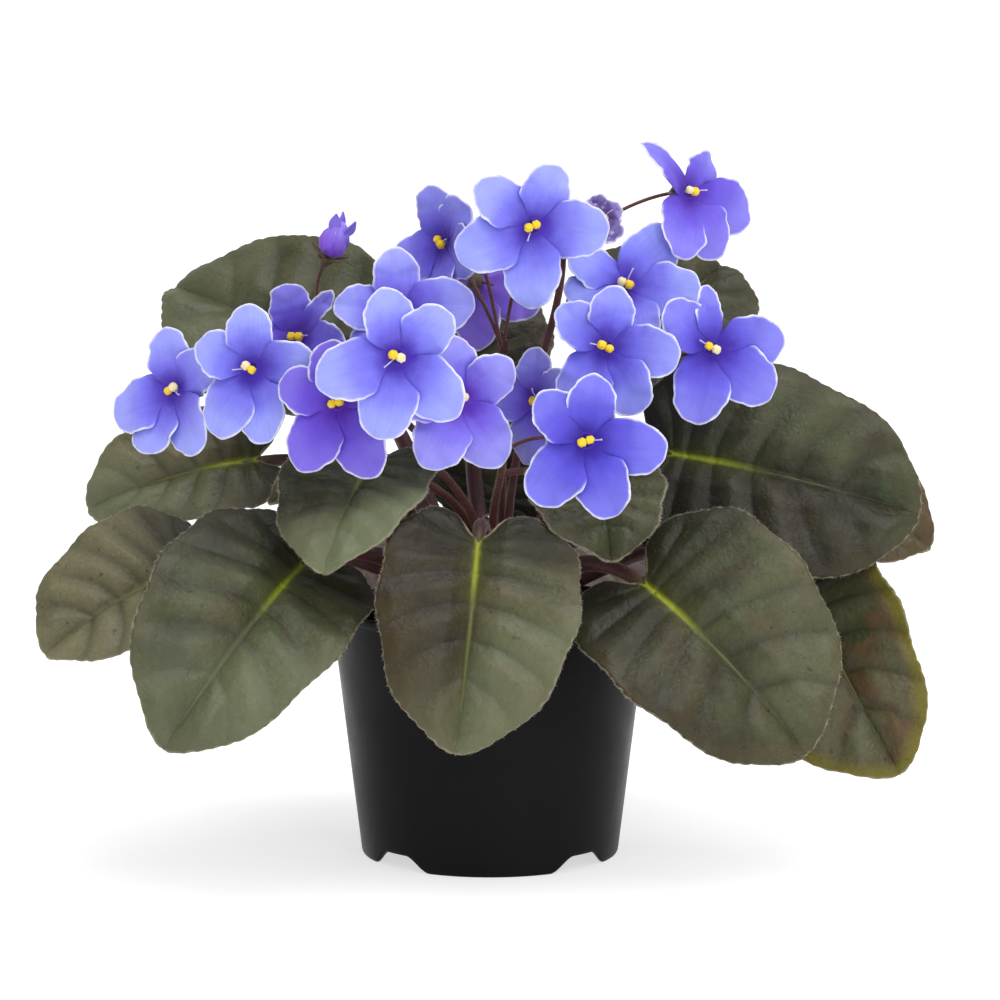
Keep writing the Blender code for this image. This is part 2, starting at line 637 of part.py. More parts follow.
def make_pot(group, cutters):
    """The thin plastic shell: a rolled rim, a tapered wall, a raised floor with drain holes and four feet."""
    slope = (POT_TOP_RADIUS - POT_BASE_RADIUS) / POT_HEIGHT

    def outer(z):
        return POT_BASE_RADIUS + slope * z

    rim_z = POT_HEIGHT - POT_RIM_DEPTH
    floor_top = POT_FLOOR_Z + POT_FLOOR
    middle_z = POT_FLOOR_Z + POT_FLOOR / 2
    pot = turned(
        "pot",
        [
            (outer(POT_HEIGHT) + POT_RIM_LIP * RIM_ROUNDING[0], POT_HEIGHT),
            (outer(rim_z) + POT_RIM_LIP, POT_HEIGHT - RIM_ROUNDING[1] * POT_RIM_DEPTH),
            (outer(rim_z) + POT_RIM_LIP, rim_z),
            (outer(FOOT_BEVEL_HEIGHT), FOOT_BEVEL_HEIGHT),
            (outer(0.0) - FOOT_BEVEL, 0.0),
            (outer(0.0) - POT_WALL, 0.0),
            (outer(POT_FLOOR_Z) - POT_WALL, POT_FLOOR_Z),
            (0.0, POT_FLOOR_Z),
            (0.0, floor_top),
            (outer(floor_top) - POT_WALL, floor_top),
            (outer(POT_HEIGHT) - POT_WALL, POT_HEIGHT),
        ],
        POT_STEPS,
        group,
    )
    for i in range(FEET):
        notch = notch_cutter(f"notch_{i}", (i + 0.5) * math.tau / FEET, cutters)
        cut_away(pot, notch)
    for i in range(DRAIN_HOLES):
        angle = (i + 0.5) * math.tau / DRAIN_HOLES
        bpy.ops.mesh.primitive_cylinder_add(
            vertices=8,
            radius=DRAIN_RADIUS,
            depth=3 * POT_FLOOR,
            location=(DRAIN_RING * math.cos(angle), DRAIN_RING * math.sin(angle), middle_z),
        )
        hole = bpy.context.object
        hole.name = f"drain_{i}"
        cut_away(pot, hole)
    pot = baked(pot)
    for cutter in [o for o in bpy.data.objects if o.hide_render]:
        bpy.data.objects.remove(cutter, do_unlink=True)
    pot.name = "pot"
    pot.data.materials.append(finish_of("black_plastic"))
    pot.data.shade_smooth()
    pot.data.set_sharp_from_angle(angle=math.radians(35))
    return pot


def cut_away(target, cutter):
    cutter.hide_render = True
    cutter.display_type = "WIRE"
    cut = target.modifiers.new(cutter.name, "BOOLEAN")
    cut.operation = "DIFFERENCE"
    cut.object = cutter


def notch_cutter(name, angle, group):
    """A prism that points outwards at angle, with the S-curved ends of a foot's notch."""
    shape = bmesh.new()
    steps = 6
    profile = []
    for i in range(steps + 1):
        t = i / steps
        swing = NOTCH_FOOT_ANGLE + (NOTCH_TOP_ANGLE - NOTCH_FOOT_ANGLE) * t
        profile.append((swing, NOTCH_HEIGHT * (1 - math.cos(math.pi * t)) / 2))
    profile = [(profile[0][0], -2 * MM), *profile]
    ring = [(a, z) for a, z in profile] + [(-a, z) for a, z in reversed(profile)]
    inner, outer = POT_BASE_RADIUS * 0.80, POT_BASE_RADIUS * 1.25
    walls = []
    for radius in (inner, outer):
        walls.append([
            shape.verts.new((radius * math.cos(angle + a), radius * math.sin(angle + a), z)) for a, z in ring
        ])
    count = len(ring)
    for i in range(count):
        j = (i + 1) % count
        shape.faces.new((walls[0][i], walls[0][j], walls[1][j], walls[1][i]))
    shape.faces.new(walls[0])
    shape.faces.new(walls[1])
    bmesh.ops.recalc_face_normals(shape, faces=shape.faces)
    mesh = bpy.data.meshes.new(name)
    shape.to_mesh(mesh)
    shape.free()
    return add_object(name, mesh, group)


def make_mix(group):
    """The potting mix that fills the pot, with the hole that the crown stands in."""
    slope = (POT_TOP_RADIUS - POT_BASE_RADIUS) / POT_HEIGHT
    bottom = POT_FLOOR_Z + POT_FLOOR + SEAT_GAP

    def inner(z):
        return POT_BASE_RADIUS + slope * z - POT_WALL - SEAT_GAP

    mix = turned(
        "potting_mix",
        [
            (CROWN_HOLE_RADIUS, MIX_TOP_Z + 2 * MM),
            (inner(MIX_TOP_Z) * 0.6, MIX_TOP_Z + 1 * MM),
            (inner(MIX_TOP_Z), MIX_TOP_Z),
            (inner(bottom), bottom),
            (0.0, bottom),
            (0.0, MIX_TOP_Z - CROWN_HOLE_DEPTH),
            (CROWN_HOLE_RADIUS, MIX_TOP_Z - CROWN_HOLE_DEPTH),
        ],
        MIX_STEPS,
        group,
    )
    mix.data.materials.append(finish_of("potting_mix"))
    return mix


def make_crown(group):
    """The short stem with the youngest leaves folded at its heart."""
    foot = MIX_TOP_Z - CROWN_HOLE_DEPTH + SEAT_GAP
    crown = turned(
        "crown",
        [
            (0.0, CROWN_TOP_Z + HEART_HEIGHT),
            (HEART_RADIUS * 0.75, CROWN_TOP_Z + HEART_HEIGHT * 0.78),
            (HEART_RADIUS, CROWN_TOP_Z + HEART_HEIGHT * 0.45),
            (HEART_RADIUS * 0.8, CROWN_TOP_Z),
            (CROWN_RADIUS, CROWN_TOP_Z),
            (CROWN_RADIUS, foot),
            (0.0, foot),
        ],
        CROWN_SIDES,
        group,
    )
    return united("crown", [crown], group, "leaf_green")


def main():
    clear_scene()
    group = collection("potted_african_violet")
    cutters = collection("cutters")
    make_pot(group, cutters)
    make_mix(group)
    make_crown(group)
    for seed, leaf in enumerate(LEAVES):
        make_leaf(leaf, seed, group)
    everything = [*BLOOMS, BUD, WILTED]
    for stalk in STALKS:
        make_stalk(stalk, [b for b in everything if b.spray == stalk.name], group)
    for bloom in BLOOMS:
        make_bloom(bloom, group)
        make_anthers(bloom, group)
    make_bud(BUD, group)
    make_bloom(WILTED, group, "wilted_lilac")
    make_anthers(WILTED, group)


if __name__ == "__main__":
    main()
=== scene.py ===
"""Potted african violet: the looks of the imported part, in metres with +Z up.

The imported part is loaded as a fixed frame. Each of its solids is replaced by a finer piece of the same form,
made from the same measures. Blades get veins, quilting and hairs, petals get ruffled white edges, and pot,
potting mix, stalks and crown get their surfaces. The plant's front looks along -Y.
"""

import json
import math
from collections import namedtuple

import bmesh
import bpy
import numpy as np
from bpy.props import FloatProperty, FloatVectorProperty, IntProperty, PointerProperty
from mathutils import Matrix

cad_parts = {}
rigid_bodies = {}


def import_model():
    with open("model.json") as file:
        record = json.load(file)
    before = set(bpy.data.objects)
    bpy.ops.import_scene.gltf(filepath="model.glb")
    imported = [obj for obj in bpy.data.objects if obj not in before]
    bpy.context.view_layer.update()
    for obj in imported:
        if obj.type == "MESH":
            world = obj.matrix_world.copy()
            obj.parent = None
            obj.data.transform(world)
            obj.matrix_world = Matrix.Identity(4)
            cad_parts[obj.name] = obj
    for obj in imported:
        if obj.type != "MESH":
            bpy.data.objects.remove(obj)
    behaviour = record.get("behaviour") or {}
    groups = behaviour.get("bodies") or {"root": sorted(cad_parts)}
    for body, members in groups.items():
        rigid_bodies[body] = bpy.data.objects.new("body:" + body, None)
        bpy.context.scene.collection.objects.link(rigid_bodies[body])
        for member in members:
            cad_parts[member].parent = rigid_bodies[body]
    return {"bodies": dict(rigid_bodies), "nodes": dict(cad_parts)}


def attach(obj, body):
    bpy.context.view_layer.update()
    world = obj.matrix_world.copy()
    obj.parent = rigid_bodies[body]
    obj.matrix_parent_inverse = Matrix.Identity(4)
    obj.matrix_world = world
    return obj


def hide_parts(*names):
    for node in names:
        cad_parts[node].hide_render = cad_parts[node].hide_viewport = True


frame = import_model()

bl_info = {
    "name": "Potted african violet",
    "version": (1, 0, 0),
    "blender": (4, 5, 0),
    "location": "3D View > Sidebar > Violet",
    "description": "Builds a potted african violet round its packed solids",
    "category": "Add Mesh",
}

MM = 0.001
BODY = "root"

# Pot and potting mix
POT_HEIGHT = 80.0 * MM
POT_TOP_RADIUS = 50.5 * MM
POT_BASE_RADIUS = 41.3 * MM
POT_SLOPE = (POT_TOP_RADIUS - POT_BASE_RADIUS) / POT_HEIGHT
POT_WALL = 1.3 * MM
POT_RIM_LIP = 1.0 * MM
POT_RIM_DEPTH = 2.4 * MM
RIM_ROUND = 0.6 * MM
POT_FLOOR_Z = 6.0 * MM
POT_FLOOR = 1.5 * MM
NOTCH_HEIGHT = 4.8 * MM
NOTCH_TOP_ANGLE = math.radians(5.5)
NOTCH_FOOT_ANGLE = math.radians(17.5)
NOTCH_FADE = 16.0 * MM
FEET = 4
DRAIN_HOLES = 5
DRAIN_RADIUS = 4.0 * MM
DRAIN_RING = 26.0 * MM
SEAT_GAP = 0.3 * MM
MIX_TOP_Z = 69.0 * MM
CROWN_HOLE_RADIUS = 8.3 * MM
CROWN_HOLE_DEPTH = 14.0 * MM
MIX_RINGS = 34
MIX_STEPS = 120
CRUMB_ROWS = 5
CRUMB_COLUMNS = 7

# Crown
CROWN_RADIUS = 8.0 * MM
CROWN_TOP_Z = 97.0 * MM
HEART_RADIUS = 3.4 * MM
HEART_HEIGHT = 13.0 * MM
HEART_LEAVES = 5
HEART_GRID = (19, 13)
HEART_HAIRS = 90
GOLDEN_TURN = math.radians(137.5)

# Leaves
PETIOLE_RADIUS = 2.1 * MM
BLADE_WAVES = 10
CRENATION = 0.7 * MM
MIDDLE_POWER = 2.1
LAST_ROW = 0.9995
COLUMN_CROWDING = 0.92
LOBE_OUTLINE = np.array((
    (-0.040, 0.04),
    (-0.150, 0.28),
    (-0.130, 0.62),
    (0.000, 0.90),
    (0.190, 1.00),
    (0.420, 0.98),
    (0.650, 0.85),
    (0.880, 0.54),
    (1.000, 0.00),
))
# Where a side vein leaves the midrib, as a share of the blade's length, and where on the outline it ends.
SIDE_VEINS = ((0.0, 0.12), (0.0, 0.27), (0.05, 0.42), (0.16, 0.55), (0.31, 0.67), (0.48, 0.78), (0.66, 0.88))

# base and tip are in millimetres, where the blade meets its petiole and where it ends. left and right are the
# widths of the two halves seen from the top with the tip up. arch and cup bend the blade, and roll turns it
# about its length in degrees. root is the height at which the petiole leaves the crown. tan, bronze and gold
# are shares of those tones in the blade's colour.
Leaf = namedtuple("Leaf", "name base tip left right arch cup roll root tan bronze gold", defaults=(0.0,))
LEAVES = (
    Leaf("leaf_front", (-3.5, -57, 107), (-10, -86, 48), 32, 28.5, 0.10, 0.05, -15, 84, 0.35, 0.45),
    Leaf("leaf_front_left", (-58, -42, 98), (-96, -94, 51), 28, 34, 0.10, 0.04, -37, 80, 0.05, 0.25),
    Leaf("leaf_front_right", (48, -48, 93), (95.5, -72, 45), 38, 32, 0.10, 0.04, 50, 80, 0.15, 0.30),
    Leaf("leaf_far_left", (-94, -20, 95), (-137.5, -40, 70), 26, 28, 0.08, 0.03, -36, 76, 1.20, 0.05),
    Leaf("leaf_far_right", (98, -12, 88), (127, -45, 33.5), 26, 31, 0.08, 0.03, 55, 75, 0.30, 0.90, 0.9),
    Leaf("leaf_right", (58, -8, 129), (135, -18, 111), 35, 38, 0.06, 0.02, 62, 90, 0.05, 0.15),
    Leaf("leaf_right_rear", (92, 30, 118), (144, 24, 95), 24, 25, 0.08, 0.03, 42, 83, 0.20, 0.90),
    Leaf("leaf_left", (-76, 12, 125), (-130, 13, 109), 19.5, 22, 0.08, 0.05, -56, 88, 0.95, 0.35),
    Leaf("leaf_rear_left", (-46, 28, 151), (-106, 66, 177), 31, 38.5, 0.05, 0.04, -38, 94, 0.25, 0.10),
    Leaf("leaf_rear", (-6, 34, 144), (-4, 66, 180), 24, 26, 0.05, 0.06, 0, 94, 0.10, 0.20),
    Leaf("leaf_rear_right", (46, 30, 157), (77.5, 66, 184.5), 29.5, 28.5, 0.05, 0.04, 36, 94, 0.00, 0.20),
    Leaf("leaf_rear_low", (2, 37, 106), (6, 66, 136), 23, 23, 0.08, 0.05, 4, 87, 0.05, 0.30),
    Leaf("leaf_inner_left", (-36, -33, 129), (-50, -66, 99), 23, 23, 0.10, 0.05, -8, 90, 0.00, 0.05),
    Leaf("leaf_inner_right", (32, -30, 126), (37, -54, 101), 20, 22, 0.10, 0.05, 5, 92, 0.05, 0.20),
    Leaf("leaf_low_left", (-45, -14, 120), (-69, -24, 115), 10, 10, 0.08, 0.05, -20, 94, 0.00, 1.00),
    Leaf("leaf_back_left", (-34, 27, 101), (-46, 84, 61), 22, 15, 0.12, 0.04, 0, 80, 0.10, 0.20),
    Leaf("leaf_back_right", (28, 38, 97), (53, 92, 47), 28, 25, 0.10, 0.04, 0, 78, 0.10, 0.20),
)

# Blooms
PETAL_ROOT = 1.4 * MM
PETAL_TWIST = math.radians(9.0)
PETAL_WIDEST = 0.50
PETAL_FLATTENING = 0.35
PETAL_CUP = 0.8 * MM
PETAL_NOD = 1.2 * MM
UPPER_PETAL = (20.5 * MM, 15.0 * MM)
LOWER_PETAL = (25.0 * MM, 17.5 * MM)
TUBE_RADIUS = 2.6 * MM
TUBE_DEPTH = 3.2 * MM
TUBE_TOP = 0.45 * MM
ANTHER_RADIUS = 1.5 * MM
ANTHER_LENGTH = 1.6 * MM
ANTHER_SIZE = (ANTHER_RADIUS, ANTHER_RADIUS * 1.05, ANTHER_LENGTH)
BUD_RADIUS = 4.6 * MM
BUD_LENGTH = 12.0 * MM

# centre is in millimetres. yaw turns the face from -Y to +X, pitch lifts it and lift raises the petals, all
# in degrees. clock holds the five petals' directions seen from the front, in degrees clockwise from the top,
# the two short upper ones first. style is the clock direction in which the style leans, plum the share of the
# warmer purple, and depth how far the bloom is darker than the rest.
Bloom = namedtuple("Bloom", "name spray centre yaw pitch size lift clock style plum depth", defaults=(0.0,))
BLOOM_ROWS = (
    ("stalk_left", (-98, -22, 151), -32, 8, 1.0, 20, (-8, 56, 145, 202, 244), 110, 0.05),
    ("stalk_left", (-73, -38, 159), -18, 8, 1.0, 16, (-68, -4, 90, 162, 208), 260, 0.0),
    ("stalk_left", (-60.5, -6, 166), -22, 16, 0.95, 30, (-14, 42, 110, 180, 250), 90, 0.2, 0.6),
    ("stalk_front_left", (-46, -54, 150), -12, 5, 1.0, 22, (-70, -5, 80, 148, 208), 60, 0.3, 0.9),
    ("stalk_front_left", (-27.5, -67, 165), 0, 4, 1.04, 12, (-11, 50, 133, 192, 253), 230, 0.0),
    ("stalk_front_left", (-28.5, -30, 176), 5, 14, 1.0, 16, (-85, -1, 84, 145, 210), 0, 0.1),
    ("stalk_rear", (-14, -5, 196), -48, 6, 1.0, 28, (-14, 44, 104, 172, 240), 80, 0.1, 0.4),
    ("stalk_rear", (13, -30, 202), 4, 6, 1.03, 12, (-51, 23, 94, 181, 248), 200, 0.0),
    ("stalk_front", (-9, -48, 150.5), 8, 6, 1.0, 18, (-9, 56, 150, 208, 278), 320, 0.25),
    ("stalk_right", (42, -19, 183), 8, 30, 1.0, 16, (-100, -60, 42, 101, 175), 30, 0.0),
    ("stalk_right", (35.5, -43, 166), -2, 8, 0.95, 14, (-50, 10, 98, 153, 211), 280, 0.0, 0.35),
    ("stalk_front", (29, -69, 140), -4, 4, 1.0, 12, (-48, 8, 98, 160, 221), 84, 0.0, 0.95),
    ("stalk_right", (68, -36, 165), 8, 6, 1.0, 16, (-46, -4, 84, 130, 196), 300, 0.05, 0.75),
    ("stalk_right", (62, -5, 212), 40, 6, 1.0, 22, (-54, 44, 114, 160, 206), 90, 0.2, 0.7),
    ("stalk_front", (16, -20, 147), -40, -5, 0.9, 20, (0, 60, 130, 200, 280), 0, 0.2),
    ("stalk_rear", (-4, 13, 182), 168, -12, 0.9, 20, (-30, 30, 100, 180, 250), 0, 0.9),
)
BLOOMS = tuple(Bloom(f"bloom_{count:02d}", *row) for count, row in enumerate(BLOOM_ROWS, 1))
BUD = Bloom("bud_purple", "stalk_left", (-49.5, -10, 195), 60, 60, 1.0, 0, (), 0, 1.0)
WILTED = Bloom(
    "bloom_wilted", "stalk_right", (35, -7.5, 203.5), -12, 8, 0.53, 46, (-12, 64, 136, 208, 280), 60, 0.6
)

# Petals that differ from the rest: which one of its bloom, and its shares of the usual length and width.
ODD_PETALS = {
    "bloom_01": ((3, 0.94, 1.0),),
    "bloom_03": ((1, 1.12, 0.5),),
    "bloom_04": ((3, 1.12, 1.0),),
    "bloom_08": ((0, 1.05, 1.0), (2, 0.95, 1.0)),
    "bloom_13": ((1, 1.0, 0.55), (2, 0.95, 1.0)),
    "bloom_14": ((0, 1.35, 0.52), (1, 0.78, 0.95), (2, 1.08, 1.0)),
}

# Painted light on the blades, as shares: painted shade that darkens some blades all over, painted shade near
# the base on their right half seen from the base, and a paler, greener painted sheen towards the tip.
SHADE_ALL_OVER = {
    "leaf_rear": 0.75, "leaf_right": 0.3, "leaf_inner_left": 0.15, "leaf_rear_low": 0.5,
    "leaf_rear_right": 0.35, "leaf_back_left": 0.5, "leaf_back_right": 0.5,
}
USUAL_BASE_SHADE = 0.25
BASE_SHADE = {
    "leaf_front": 1.0, "leaf_front_left": 0.1, "leaf_front_right": 0.6, "leaf_inner_left": 0.5,
    "leaf_right": 0.9,
}
TIP_SHEEN = {
    "leaf_front": 0.35, "leaf_front_left": 0.35, "leaf_inner_left": 0.95, "leaf_left": 0.5,
    "leaf_rear_left": 0.3,
}

# Stalks
Stalk = namedtuple("Stalk", "name node azimuth")
STALKS = (
    Stalk("stalk_left", (-45, -14, 140), 188),
    Stalk("stalk_front_left", (-22, -22, 138), 232),
    Stalk("stalk_front", (4, -36, 133), 276),
    Stalk("stalk_right", (23, -4, 192), 340),
    Stalk("stalk_rear", (4, -4, 162), 50),
)
Branch = namedtuple("Branch", "stalk share node blooms")
BRANCHES = (
    Branch("stalk_right", 0.4, (40, -14, 150), ("bloom_11", "bloom_13")),
    Branch("stalk_front", 0.6, (18, -8, 128), ("bloom_15",)),
)
STALK_RING = 6.0 * MM
PEDUNCLE_RADIUS = 1.5 * MM
PEDICEL_RADIUS = 0.6 * MM
CALYX_LENGTH = 4.5 * MM
PEDUNCLE_STEPS = 40
PEDICEL_STEPS = 24
SEPAL_LENGTH = 5.0 * MM
SEPAL_HALF_WIDTH = 1.15 * MM
SEPAL_CURL = -0.35
BRACT_LENGTH = 6.5 * MM
BRACT_HALF_WIDTH = 1.3 * MM
BRACT_CURL = 0.5
SMALL_BLADE_THICKNESS = 0.44 * MM
FILAMENT_RADIUS = 0.45 * MM
STYLE_REACH = 3.6 * MM
STYLE_RISE = 3.8 * MM
CRUMPLE = 1.3 * MM

# Stage, in metres
FLOOR_REACH = 12.0
SUN_PLACE = (0.32, -0.30, 1.10)
SUN_SPREAD = math.radians(65.0)
STRIP_PLACE = (0.36, -0.90, 0.20)
STRIP_TARGET = (0.0, 0.0, 0.05)
STRIP_SIZE = (0.07, 0.8)
VIEW_END = 60.0

# Camera: the photograph is square, and its focal length is 3470 of its pixels
CAMERA_PLACE = (3.2 * MM, -1.1, 0.25)
CAMERA_PITCH = math.radians(7.07)
SENSOR = 36.0
FOCAL_SHARE = 3.470


def strength(name, description, default, **more):
    return FloatProperty(name=name, description=description, default=default, min=0.0, **more)


def size(name, description, default):
    return strength(name, description, default, subtype="DISTANCE", unit="LENGTH", precision=5)


def share(name, description, default, highest=1.0):
    return strength(name, description, default, max=highest, subtype="FACTOR")


def colour(name, description, default):
    return FloatVectorProperty(
        name=name, description=description, default=default, size=3, min=0.0, max=1.0, subtype="COLOR"
    )


def number(name, description, default):
    return IntProperty(name=name, description=description, default=default, min=0)


class PotSizes(bpy.types.PropertyGroup):
    steps: number("Steps", "Points round the pot", 240)
    plastic: colour("Plastic", "Colour of the plastic", (0.0050, 0.0050, 0.0054))
    roughness: share("Roughness", "How dull the plastic is", 0.36)


class MixSizes(bpy.types.PropertyGroup):
    crumbs: number("Crumbs", "Loose crumbs on the potting mix", 620)
    crumb_size: size("Crumb size", "Radius of a middling crumb", 1.3 * MM)
    peat: colour("Peat", "Colour of damp peat", (0.020, 0.012, 0.008))
    fibre: colour("Fibre", "Colour of dry fibre and bark", (0.075, 0.042, 0.022))


class LeafSizes(bpy.types.PropertyGroup):
    thickness: size("Blade thickness", "Thickness of a blade", 0.9 * MM)
    quilting: size("Quilting", "How far the blade swells between its side veins", 1.7 * MM)
    furrow: size("Furrow", "How deep the veins lie in the upper side", 0.60 * MM)
    cell: size("Cell", "Width of the small cells between the fine veins", 4.6 * MM)
    cell_height: size("Cell height", "How far a small cell stands up", 0.16 * MM)
    tooth: size("Tooth", "How far the margin's teeth stand out", 0.42 * MM)
    tooth_spacing: size("Tooth spacing", "Distance from tooth to tooth", 4.2 * MM)
    hair_length: size("Hair length", "Length of a middling hair", 0.85 * MM)
    hair_width: size("Hair width", "Half width of a hair at its root", 0.035 * MM)
    margin_hairs: number("Margin hairs", "Hairs round one blade", 620)
    blade_hairs: number("Blade hairs", "Hairs on the faces of one blade", 700)
    petiole_hairs: number("Petiole hairs", "Hairs on one petiole", 160)
    # Deep green is the colour of the blade's darker patches, and also the painted shade in its furrows and
    # near its base
    deep: colour("Deep green", "Colour in the folds of a blade", (0.020, 0.021, 0.007))
    olive: colour("Olive", "Colour of most of a blade", (0.070, 0.078, 0.034))
    fresh: colour("Fresh green", "Colour of greener patches", (0.040, 0.072, 0.020))
    tan: colour("Tan", "Colour of an ageing blade", (0.170, 0.160, 0.085))
    bronze: colour("Bronze", "Colour of brown patches", (0.088, 0.048, 0.018))
    gold: colour("Gold", "Colour of a yellowing rim", (0.130, 0.115, 0.004))
    rib: colour("Midrib", "Colour of the midrib near its base", (0.270, 0.310, 0.006))
    margin: colour("Margin", "Colour of the blade's rim", (0.250, 0.220, 0.150))
    under: colour("Under side", "Colour of the under side", (0.110, 0.070, 0.060))
    # Painted sheen: the paler, greener colour laid over the blades towards their tips
    gleam: colour("Gleam", "Colour of the palest tips", (0.165, 0.190, 0.105))
    petiole: colour("Petiole", "Colour of the leaf stalks", (0.046, 0.013, 0.014))
    hair: colour("Hair", "Colour of the hairs", (0.55, 0.48, 0.38))


class BloomSizes(bpy.types.PropertyGroup):
    thickness: size("Petal thickness", "Thickness of a petal", 0.65 * MM)
    ruffle: size("Ruffle", "How far the petals' margins wave", 0.70 * MM)
    frill: size("Frill", "How uneven the petals' outline is", 0.28 * MM)
    edge: size("White edge", "Width of the white edge", 0.40 * MM)
    throat: colour("Throat", "Colour round the throat", (0.050, 0.018, 0.38))
    petal: colour("Petal", "Colour of the middle of a petal", (0.160, 0.150, 0.74))
    outer: colour("Outer petal", "Colour towards a petal's end", (0.315, 0.355, 0.90))
    white: colour("Edge", "Colour of the white edge", (0.80, 0.80, 0.90))
    plum: colour("Plum", "The warmer purple of some blooms", (0.24, 0.035, 0.58))
    yellow: colour("Pollen", "Colour of the ripe pollen sac", (0.85, 0.58, 0.02))
    cream: colour("Cream", "Colour of the paler pollen sac", (0.80, 0.66, 0.36))


class StalkSizes(bpy.types.PropertyGroup):
    hairs: number("Hairs", "Hairs on one stalk and its pedicels", 900)
    hair_length: size("Hair length", "Length of a middling hair", 0.55 * MM)
    brown: colour("Brown", "Colour of the stalks", (0.085, 0.030, 0.024))
    green: colour("Green", "Colour of the sepals", (0.075, 0.075, 0.035))


class StageSizes(bpy.types.PropertyGroup):
    floor: colour("Floor", "Colour of the floor", (0.58, 0.58, 0.58))
    ambient: share("Ambient", "Strength of the light from above", 0.50, 5.0)
    sun: strength("Key light", "Strength of the soft light from the front", 2.3)
    glow: share("Paper glow", "How much the paper shines by itself, which keeps the shadow pale", 0.62)
    strip: strength("Strip light", "Power of the strip beside the pot", 1.8)


# Meshes


class Shape:
    """Points, faces and painted values gathered for one piece."""

    def __init__(self):
        self.points, self.faces, self.finishes, self.values, self.count = [], [], [], [], 0

    def add(self, points, *faces, finish=0, **values):
        points = np.asarray(points, float).reshape(-1, 3)
        for group in faces:
            self.faces.extend((np.asarray(group) + self.count).tolist())
            self.finishes.extend([finish] * len(group))
        self.points.append(points)
        self.values.append((len(points), values))
        self.count += len(points)
        return self

    def painted(self, name):
        found = [
            np.broadcast_to(np.asarray(values.get(name, 0.0), float).reshape(-1, 1), (count, 1)).ravel()
            for count, values in self.values
        ]
        return np.concatenate(found)


def add_piece(name, shape, finishes, stands_for=(), weld=False):
    """A smooth mesh object from a shape, riding on the part's one body."""
    mesh = bpy.data.meshes.new(name)
    mesh.from_pydata(np.concatenate(shape.points), [], shape.faces)
    for painted in sorted({key for _, values in shape.values for key in values}):
        layer = mesh.attributes.new(painted, "FLOAT", "POINT")
        layer.data.foreach_set("value", shape.painted(painted).astype(np.float32))
    for finish in finishes:
        mesh.materials.append(finish)
    mesh.polygons.foreach_set("material_index", shape.finishes)
    if weld:
        work = bmesh.new()
        work.from_mesh(mesh)
        bmesh.ops.remove_doubles(work, verts=work.verts, dist=0.001 * MM)
        work.to_mesh(mesh)
        work.free()
    mesh.shade_smooth()
    obj = bpy.data.objects.new(name, mesh)
    bpy.context.scene.collection.objects.link(obj)
    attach(obj, BODY)
    if stands_for:
        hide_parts(*stands_for)
    return obj


def unit(vectors):
    vectors = np.asarray(vectors, float)
    return vectors / (np.linalg.norm(vectors, axis=-1, keepdims=True) + 1e-12)


def smoothstep(low, high, value):
    t = np.clip((value - low) / (high - low), 0.0, 1.0)
    return t * t * (3.0 - 2.0 * t)

UP = np.array((0.0, 0.0, 1.0))


def heading(angle, rise=0.0):
    """A direction level with the ground at an angle from +X, lifted by a rise."""
    return np.array((math.cos(angle), math.sin(angle), rise))


def bell(value, width):
    """1 where value is 0, falling to about a third at width."""
    return np.exp(-((value / width) ** 2))


def lattice(rows, columns):
    """Two grids: rows numbers from 0 to 1 down, and columns numbers from -1 to 1 across."""
    return np.meshgrid(np.linspace(0.0, 1.0, rows), np.linspace(-1.0, 1.0, columns), indexing="ij")


def spanned(origin, *parts):
    """Points from an origin, by pairs of an axis and how far they lie along it."""
    return origin + sum(axis * np.asarray(reach)[..., None] for axis, reach in parts)


def pot_outer(z):
    """The pot's outer radius at a height."""
    return POT_BASE_RADIUS + POT_SLOPE * z


def tinted(colour, factor, lift=0.0):
    """A brighter or darker colour."""
    return tuple(min(c * factor + lift, 1.0) for c in colour)


def normals_of(grid, towards):
    """Unit normals of a grid of points on the side of towards, and whether that turns its faces over."""
    normal = unit(np.cross(np.gradient(grid, axis=0), np.gradient(grid, axis=1)))
    turned = float((normal @ np.asarray(towards)).sum()) < 0.0
    return (-normal if turned else normal), turned


def thickened(grid, normal, turned, upper, lower):
    """A closed blade from a grid of points. upper and lower are how far its faces stand off the grid."""
    rows, columns = grid.shape[:2]
    count = rows * columns
    index = np.arange(count).reshape(rows, columns)
    quads = np.stack([index[:-1, :-1], index[1:, :-1], index[1:, 1:], index[:-1, 1:]], -1).reshape(-1, 4)
    loop = np.concatenate([index[0, ::-1], index[1:, 0], index[-1, 1:], index[-2:0:-1, -1]])
    follow = np.roll(loop, -1)
    edge = np.stack([follow, loop, loop + count, follow + count], -1)
    faces = np.concatenate([quads, quads[:, ::-1] + count, edge])
    if turned:
        faces = faces[:, ::-1]
    points = np.concatenate([
        (grid + normal * upper[..., None]).reshape(-1, 3),
        (grid - normal * lower[..., None]).reshape(-1, 3),
    ])
    return points, faces


def both(values):
    """A grid's values for the two faces of a thickened blade."""
    return np.tile(np.asarray(values, float).ravel(), 2)


def frames_along(path):
    """Directions along a path and two directions across it, without twist."""
    ahead = unit(np.gradient(path, axis=0))
    side = np.cross(ahead[0], (0.31, 0.17, 0.93))
    sides = []
    for direction in ahead:
        side = unit(side - direction * (side @ direction))
        sides.append(side)
    sides = np.array(sides)
    return ahead, sides, np.cross(ahead, sides)


